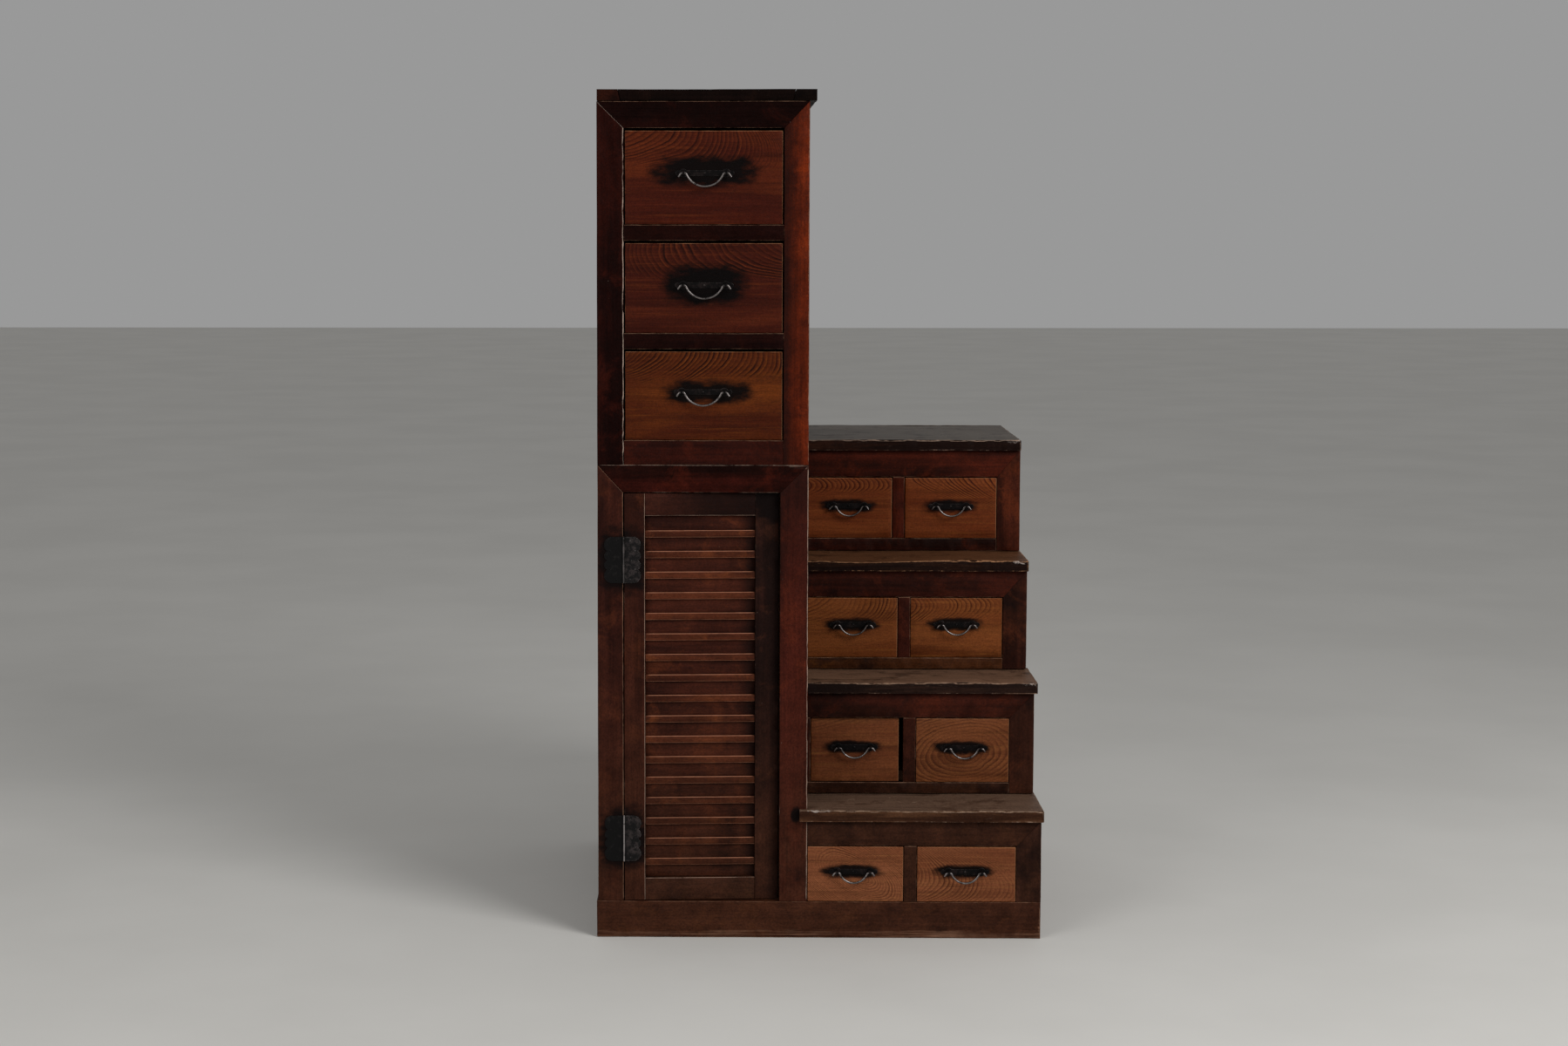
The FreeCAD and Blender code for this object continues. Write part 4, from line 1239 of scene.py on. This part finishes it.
TREADS = (
    Tread(Paint(44, 24, 14), Paint(78, 50, 32), Paint(94, 72, 58), Paint(150, 124, 104), 0.5),
    Tread(Paint(22, 12, 9), Paint(44, 27, 20), Paint(104, 77, 60), Paint(146, 118, 98), 0.45,
          Sag(0.12, 0.10, 0.0022)),
    Tread(Paint(21, 9, 6), Paint(44, 24, 13), Paint(88, 57, 37), Paint(170, 124, 90), 0.6,
          Sag(0.112, 0.085, 0.0052)),
    Tread(Paint(22, 10, 7), Paint(44, 22, 13), Paint(90, 83, 76), Paint(150, 124, 106), 0.5),
)

# Tones of each step's frame: top rail, divider and filler, then stile, then bottom rail
FRAME_TONES = (
    (Paint(42, 23, 15), Paint(53, 32, 24), Paint(44, 26, 18)),
    (Paint(52, 18, 10), Paint(58, 26, 16), Paint(42, 22, 12)),
    (Paint(52, 19, 11), Paint(58, 26, 16), Paint(64, 34, 16)),
    (Paint(64, 22, 11), Paint(64, 26, 14), Paint(46, 17, 10)),
)


class Steps:
    """The four treads and the frames under them."""

    def build(self) -> None:
        """Model and dress the treads and the frames."""
        self.treads()
        self.frames()

    @staticmethod
    def treads(slack: float = 0.01) -> None:
        """Model the treads; the lowest is notched round the tower's stile.

        Args:
            slack: How far the notch's cutter stands out of the tread.
        """
        tower = solids("lower_front_frame")[0]
        for step, (blank, tread) in enumerate(zip(solids("step_treads"), TREADS)):
            pale = Stain(blank.high.x - 0.010, blank.high.z - 0.003, 0.022, 0.005)
            notch = None
            if step == 0:
                pale = Stain(tower.high.x + 0.024, blank.high.z - 0.002, 0.024, 0.003)
                notch = Blank(Vector((blank.low.x - slack, tower.low.y, blank.low.z - slack)),
                              Vector((tower.high.x, blank.high.y + slack, blank.high.z + slack)))
            finish = tread.material(f"tread_{step + 1}_wood", blank.low.y, pale, step * 3.1)
            board = Board(f"tread_{step + 1}", blank, finish, ease=0.0034, chip=0.0036, bow=0.0030,
                          bow_size=0.2, long_pitch=0.006, notch=notch, bowed=(UP, FORWARD), sag=tread.sag,
                          plain=Wear(Vector(), 0.35, 0.2, 0.4),
                          worn=(Wear(UP + FORWARD, rub=0.66), Wear(DOWN + FORWARD, 0.4, 0.3, 0.42),
                                Wear(UP + RIGHT, 0.8, 0.8, 0.6), Wear(RIGHT + FORWARD, 0.8, 0.8, 0.6)))
            own(board.build(), "root", "step_treads")

    @staticmethod
    def frames() -> None:
        """Model each step's mitred top rail and stile, its divider, bottom rail and filler strip."""
        undersides = [blank.low.z for blank in solids("step_treads")]
        blanks = solids("step_front_frames")
        step, rail = -1, blanks[0]
        worn = (Wear(DOWN + FORWARD, 0.8, 0.7, 0.70), Wear(UP + FORWARD, 0.8, 0.8, 0.82),
                Wear(RIGHT + FORWARD, 0.7, 0.8, 0.70), Wear(LEFT + FORWARD, 0.6, 0.5, 0.5))
        for number, blank in enumerate(blanks):
            cuts = ()
            if blank.grain is Grain.ACROSS and min(abs(blank.high.z - z) for z in undersides) < RAIL_NEAR:
                step, rail, name, tone = step + 1, blank, "top_rail", 0
                cuts = (mitre(blank, 1, blank.size.z, blanks[number + 1].size.x).other(),)
            elif blank.grain is Grain.ACROSS:
                name, tone = "bottom_rail", 2
            elif blank.high.x > rail.high.x - HAIR:
                name, tone, cuts = "stile", 1, (mitre(blank, 1, rail.size.z, blank.size.x),)
            else:
                name, tone = "filler" if blank.low.x < rail.low.x + FILLER_NEAR else "divider", 0
            warm = FRAME_TONES[step][tone]
            finish = Lacquer(f"step_frame_{number}", blank.grain, warm.times(0.56, 0.5, 0.5), warm,
                             gloom=0.62, seed=number * 1.9)
            board = Board(f"step_{step + 1}_{name}", blank, finish.material(), cuts=cuts, worn=worn)
            own(board.build(), "root", "step_front_frames")


FIGURES = {
    "upper_drawer_top": Figure(0.98, 1, 11.6, 0.0052, -0.30, 0.066, 0.6, 0.5),
    "upper_drawer_middle": Figure(1.10, -1, 8.7, 0.0096, 0.30, 0.066, 0.85, 0.8),
    "upper_drawer_bottom": Figure(1.04, 1, 12.0, 0.0096, -0.16, 0.052, 1.0, 0.75),
    "step_4_left_drawer": Figure(0.87, 1, 62.0, 0.0112, 0.0, 0.034),
    "step_4_right_drawer": Figure(1.10, -1, 26.0, 0.012, -0.10, 0.052),
    "step_3_left_drawer": Figure(1.10, 1, 11.5, 0.0072, -0.26, 0.064, 0.7),
    "step_3_right_drawer": Figure(0.86, 1, 36.0, 0.0098, 0.0, 0.056),
    "step_2_left_drawer": Figure(1.25, 1, 48.0, 0.030, 0.0, 0.05),
    "step_2_right_drawer": Figure(0.45, 1, 3.6, 0.0125, 0.10, 0.2, 1.0, 0.4, True),
    "step_1_left_drawer": Figure(0.48, 1, 3.4, 0.0062, -0.42, 0.2, 1.0, 0.45, True),
    "step_1_right_drawer": Figure(0.36, 1, 20.0, 0.0085, -0.12, 0.2, 1.0, 0.45),
}

# Ground, late wood and light wood of the drawers whose names start so
GROUNDS = {
    "upper_drawer_top": (Paint(58, 19, 10), Paint(30, 8, 5), Paint(82, 33, 14)),
    "upper_drawer_middle": (Paint(54, 18, 10), Paint(28, 8, 5), Paint(80, 32, 15)),
    "upper_drawer_bottom": (Paint(60, 22, 9), Paint(32, 10, 5), Paint(88, 41, 13)),
    "step_4": (Paint(88, 38, 16), Paint(52, 19, 8), Paint(108, 54, 25)),
    "step_3": (Paint(90, 43, 19), Paint(54, 23, 9), Paint(110, 60, 28)),
    "step_2": (Paint(84, 43, 24), Paint(50, 23, 12), Paint(106, 60, 34)),
    "step_1": (Paint(104, 58, 35), Paint(66, 33, 19), Paint(122, 72, 46)),
}

# Stains set off from the middle of the handle's plate
STAINS = {
    "upper_drawer_top": Stain(0.002, 0.004, 0.112, 0.032),
    "upper_drawer_middle": Stain(0.0, 0.0, 0.090, 0.041),
    "upper_drawer_bottom": Stain(0.012, -0.001, 0.092, 0.025),
}
STEP_STAIN = Stain(-0.003, 0.0, 0.062, 0.0145)


@dataclass
class Drawer:
    """One drawer: its figured front, its bare box and its iron."""

    name: str
    finishes: Finishes
    seed: float

    def build(self) -> None:
        """Model and dress the drawer's pieces."""
        self.front()
        for name, part in zip(("bottom", "left", "right", "back"), solids(self.name + "_box")):
            board = Board(f"{self.name}_{name}", part, self.finishes.box, wide_pitch=0.08, long_pitch=0.04,
                          bow=0.0003)
            own(board.build(), self.name, self.name + "_box")
        plate = forged(self.name + "_handle_plate", self.name + "_bail_posts", self.finishes.iron,
                       self.finishes.edge)
        own(plate, self.name, self.name + "_bail_posts")
        wire = forged(self.name + "_bail_wire", self.name + "_bail", self.finishes.wire)
        own(wire, self.name + "_bail", self.name + "_bail")

    def front(self) -> None:
        """Model the front, with its own figure and the stain round its handle."""
        blank = solids(self.name + "_front")[0]
        plate = solids(self.name + "_bail_posts")[0].middle
        tones = next(tones for start, tones in GROUNDS.items() if self.name.startswith(start))
        off = STAINS.get(self.name, STEP_STAIN)
        stain = Stain(plate.x + off.x, plate.z + off.z, off.half_width, off.half_height)
        finish = FiguredFront(self.name + "_figure", blank, FIGURES[self.name], *tones, stain, self.seed)
        board = Board(self.name + "_front_worn", blank, finish.material(), bow=0.0005, chip=0.0008,
                      ease=0.0022, plain=Wear(Vector(), 0.55, 0.5, 0.5),
                      worn=(Wear(RIGHT + FORWARD, 0.7, 0.8, 0.85), Wear(UP + FORWARD, 0.7, 0.8, 0.7)))
        own(board.build(), self.name, self.name + "_front")


def forged(name: str, node: str, finish: Material, edge: Material | None = None,
           bevel: float = 0.0004) -> Object:
    """Copy a node's metal, merge it and soften its edges.

    Args:
        name: The new piece's name.
        node: The node to copy.
        finish: Its material.
        edge: The material of its rounded edges, or none to leave them sharp.
        bevel: How far they are rounded.

    Returns:
        The finished piece.
    """
    deselect()
    source = frame["nodes"][node]
    piece = source.copy()
    piece.data = source.data.copy()
    piece.parent = None
    piece.name = name
    for key in list(piece.keys()):
        del piece[key]
    bpy.context.scene.collection.objects.link(piece)
    piece.data.materials.clear()
    piece.data.materials.append(finish)
    take(piece)
    bpy.ops.object.mode_set(mode="EDIT")
    bpy.ops.mesh.select_all(action="SELECT")
    bpy.ops.mesh.remove_doubles(threshold=HAIR)
    bpy.ops.mesh.dissolve_limited(angle_limit=FLAT)
    bpy.ops.object.mode_set(mode="OBJECT")
    if edge is None:
        smooth(piece)
        return piece
    piece.data.materials.append(edge)
    modifier = piece.modifiers.new("soften", "BEVEL")
    modifier.width = bevel
    modifier.material = 1
    modifier.segments = 2
    modifier.limit_method = "ANGLE"
    modifier.angle_limit = SHARP
    modifier.use_clamp_overlap = True
    apply_modifiers(piece)
    smooth(piece)
    piece.modifiers.new("flat_leaves", "WEIGHTED_NORMAL").keep_sharp = True
    apply_modifiers(piece)
    return piece


class SlattedDoor:
    """The door: two stiles, two rails, a thin panel and its battens, all turned in on the hinges."""

    def build(self) -> None:
        """Model and dress the door."""
        panel, *battens = solids("door_slats", DOOR_TURN)
        start, end = battens[0].low.x, battens[0].high.x
        self.frame(start, end)
        across = Grain.ACROSS
        # The panel darkens towards its right end: painted shadow of the right stile
        finish = Lacquer("door_panel", across, Paint(38, 16, 11), Paint(62, 28, 18), gloom=0.5,
                         painted_shade=PaintedShade(across, end - 0.008, end - 0.042, 0.75)).material()
        self.hang(Board("door_panel", panel, finish), "door_slats")
        # The battens also darken towards their right ends: painted shadow of the right stile
        finish = Lacquer("door_battens", across, Paint(50, 22, 13), Paint(76, 37, 22), Paint(158, 108, 84),
                         wear=0.8, painted_shade=PaintedShade(across, end - 0.004, end - 0.03, 0.35)).material()
        worn = (Wear(UP + FORWARD, rub=0.95), Wear(DOWN + FORWARD, 0.7, 0.5, 0.8))
        for number, blank in enumerate(battens):
            self.hang(Board(f"door_batten_{number + 1:02d}", blank, finish, ease=0.0016, chip=0.0006,
                            bow=0.0003, worn=worn), "door_slats")

    def frame(self, start: float, end: float) -> None:
        """Model the stiles and rails.

        Args:
            start: Where the battens' left ends are.
            end: Where their right ends are.
        """
        blanks = solids("door_frame", DOOR_TURN)
        top = blanks[1].high
        leaves = leaf_middles("hinge_door_leaves")
        halos = tuple(Stain(leaf.x - 0.006, leaf.z, 0.042, 0.066) for leaf in leaves)
        # The right stile's fade from its right edge and the patch at its top are painted shadow of the case's
        # right stile
        shadow = (Stain(top.x - 0.01, top.z, 0.05, 0.07),)
        side = PaintedShade(Grain.ACROSS, end + 0.045, end + 0.015, 0.45)
        # The top rail darkens away from its left end: painted shade under the case's frame
        top_rail_shade = PaintedShade(Grain.ACROSS, start + 0.13, start - 0.02, 0.8)
        parts = (
            # The left stile's inner arris is painted pale: rubbed bare, and a painted highlight of the light
            # from the right
            ("left_stile", Paint(38, 16, 10), Paint(56, 26, 17), (Wear(RIGHT + FORWARD, 0.9, 0.4, 0.95),),
             None, halos),
            # The right stile's dark tones are painted shadow too
            ("right_stile", Paint(26, 13, 10), Paint(46, 23, 17), (), side, shadow),
            ("bottom_rail", Paint(32, 19, 14), Paint(48, 29, 21), (Wear(UP + FORWARD, 0.8, 0.4, 0.8),),
             None, ()),
            ("top_rail", Paint(36, 15, 11), Paint(58, 28, 20), (Wear(DOWN + FORWARD, 0.8, 0.4, 0.9),),
             top_rail_shade, ()),
        )
        for (name, dark, warm, worn, painted_shade, stains_and_shadows), blank in zip(parts, blanks):
            finish = Lacquer("door_" + name, blank.grain, dark, warm, Paint(154, 128, 112), wear=0.6,
                             seed=len(name) * 1.3, painted_shade=painted_shade, stains_and_shadows=stains_and_shadows)
            self.hang(Board("door_" + name, blank, finish.material(), worn=worn), "door_frame")

    @staticmethod
    def hang(board: Board, node: str) -> None:
        """Build a board, turn it in with the door and hand it over.

        Args:
            board: The board, as it lies with the door straight.
            node: The node that it stands for.
        """
        piece = board.build()
        take(piece)
        piece.matrix_world = about_door_pin(DOOR_TURN)
        bpy.ops.object.transform_apply(location=True, rotation=True, scale=True)
        own(piece, "door", node)


@dataclass
class Studio:
    """The floor, the lamps and the camera."""

    floor_size: float = 60.0
    floor: Paint = Paint(212, 210, 205)
    floor_cloud: Paint = Paint(206, 204, 199)
    sky: Paint = Paint(236, 236, 236)

    def build(self) -> None:
        """Set up everything round the chest."""
        self.ground()
        self.lamps()
        self.camera()

    def ground(self) -> None:
        """Lay the floor and light the world."""
        deselect()
        bpy.ops.mesh.primitive_plane_add(size=self.floor_size)
        floor = bpy.context.object
        floor.name = "floor"
        brush = Brush("floor_finish")
        tone = brush.blend(brush.noise(1.3, detail=5).rise(0.3, 0.7), self.floor, self.floor_cloud)
        brush.feed(brush.shader.inputs["Base Color"], tone)
        brush.feed(brush.shader.inputs["Roughness"], 0.7)
        floor.data.materials.append(brush.material)
        world = bpy.data.worlds.new("studio")
        bpy.context.scene.world = world
        world.use_nodes = True
        background = world.node_tree.nodes["Background"]
        background.inputs["Color"].default_value = self.sky.linear()
        background.inputs["Strength"].default_value = WORLD_STRENGTH
        bpy.context.scene.view_settings.view_transform = "Standard"

    @staticmethod
    def lamps() -> None:
        """Hang a large soft key at the right and a weaker fill at the left."""
        for name, place, size, power in LAMPS:
            lamp = bpy.data.lights.new(name, "AREA")
            lamp.shape = "DISK"
            lamp.size = size
            lamp.energy = power
            holder = bpy.data.objects.new(name, lamp)
            bpy.context.scene.collection.objects.link(holder)
            holder.location = place
            holder.rotation_euler = (LAMPS_AIM - place).to_track_quat("-Z", "Y").to_euler()

    @staticmethod
    def camera() -> None:
        """Stand the camera where the photograph was taken from."""
        lens = bpy.data.cameras.new("camera")
        lens.lens = CAMERA_LENS
        lens.shift_x, lens.shift_y = CAMERA_SHIFT
        camera = bpy.data.objects.new("camera", lens)
        camera.location = CAMERA_PLACE
        camera.rotation_euler = (math.pi / 2 - CAMERA_DIP, 0.0, CAMERA_TURN)
        bpy.context.scene.collection.objects.link(camera)
        bpy.context.scene.camera = camera


def main() -> None:
    """Dress the chest, piece by piece, and set up the studio."""
    logging.basicConfig(level=logging.INFO, format="%(message)s")
    finishes = Finishes()
    for front in tower_fronts():
        front.build()
    Carcass(finishes).build()
    Steps().build()
    SlattedDoor().build()
    for number, name in enumerate(sorted(FIGURES)):
        Drawer(name, finishes, number * 2.7).build()
    for side, body, iron, edge in (("case", "root", finishes.hinge, finishes.edge),
                                   ("door", "door", finishes.door_leaf, finishes.leaf_edge)):
        node = f"hinge_{side}_leaves"
        own(forged(node + "_forged", node, iron, edge, LEAF_BEVEL), body, node)
    Studio().build()


if __name__ == "__main__":
    main()
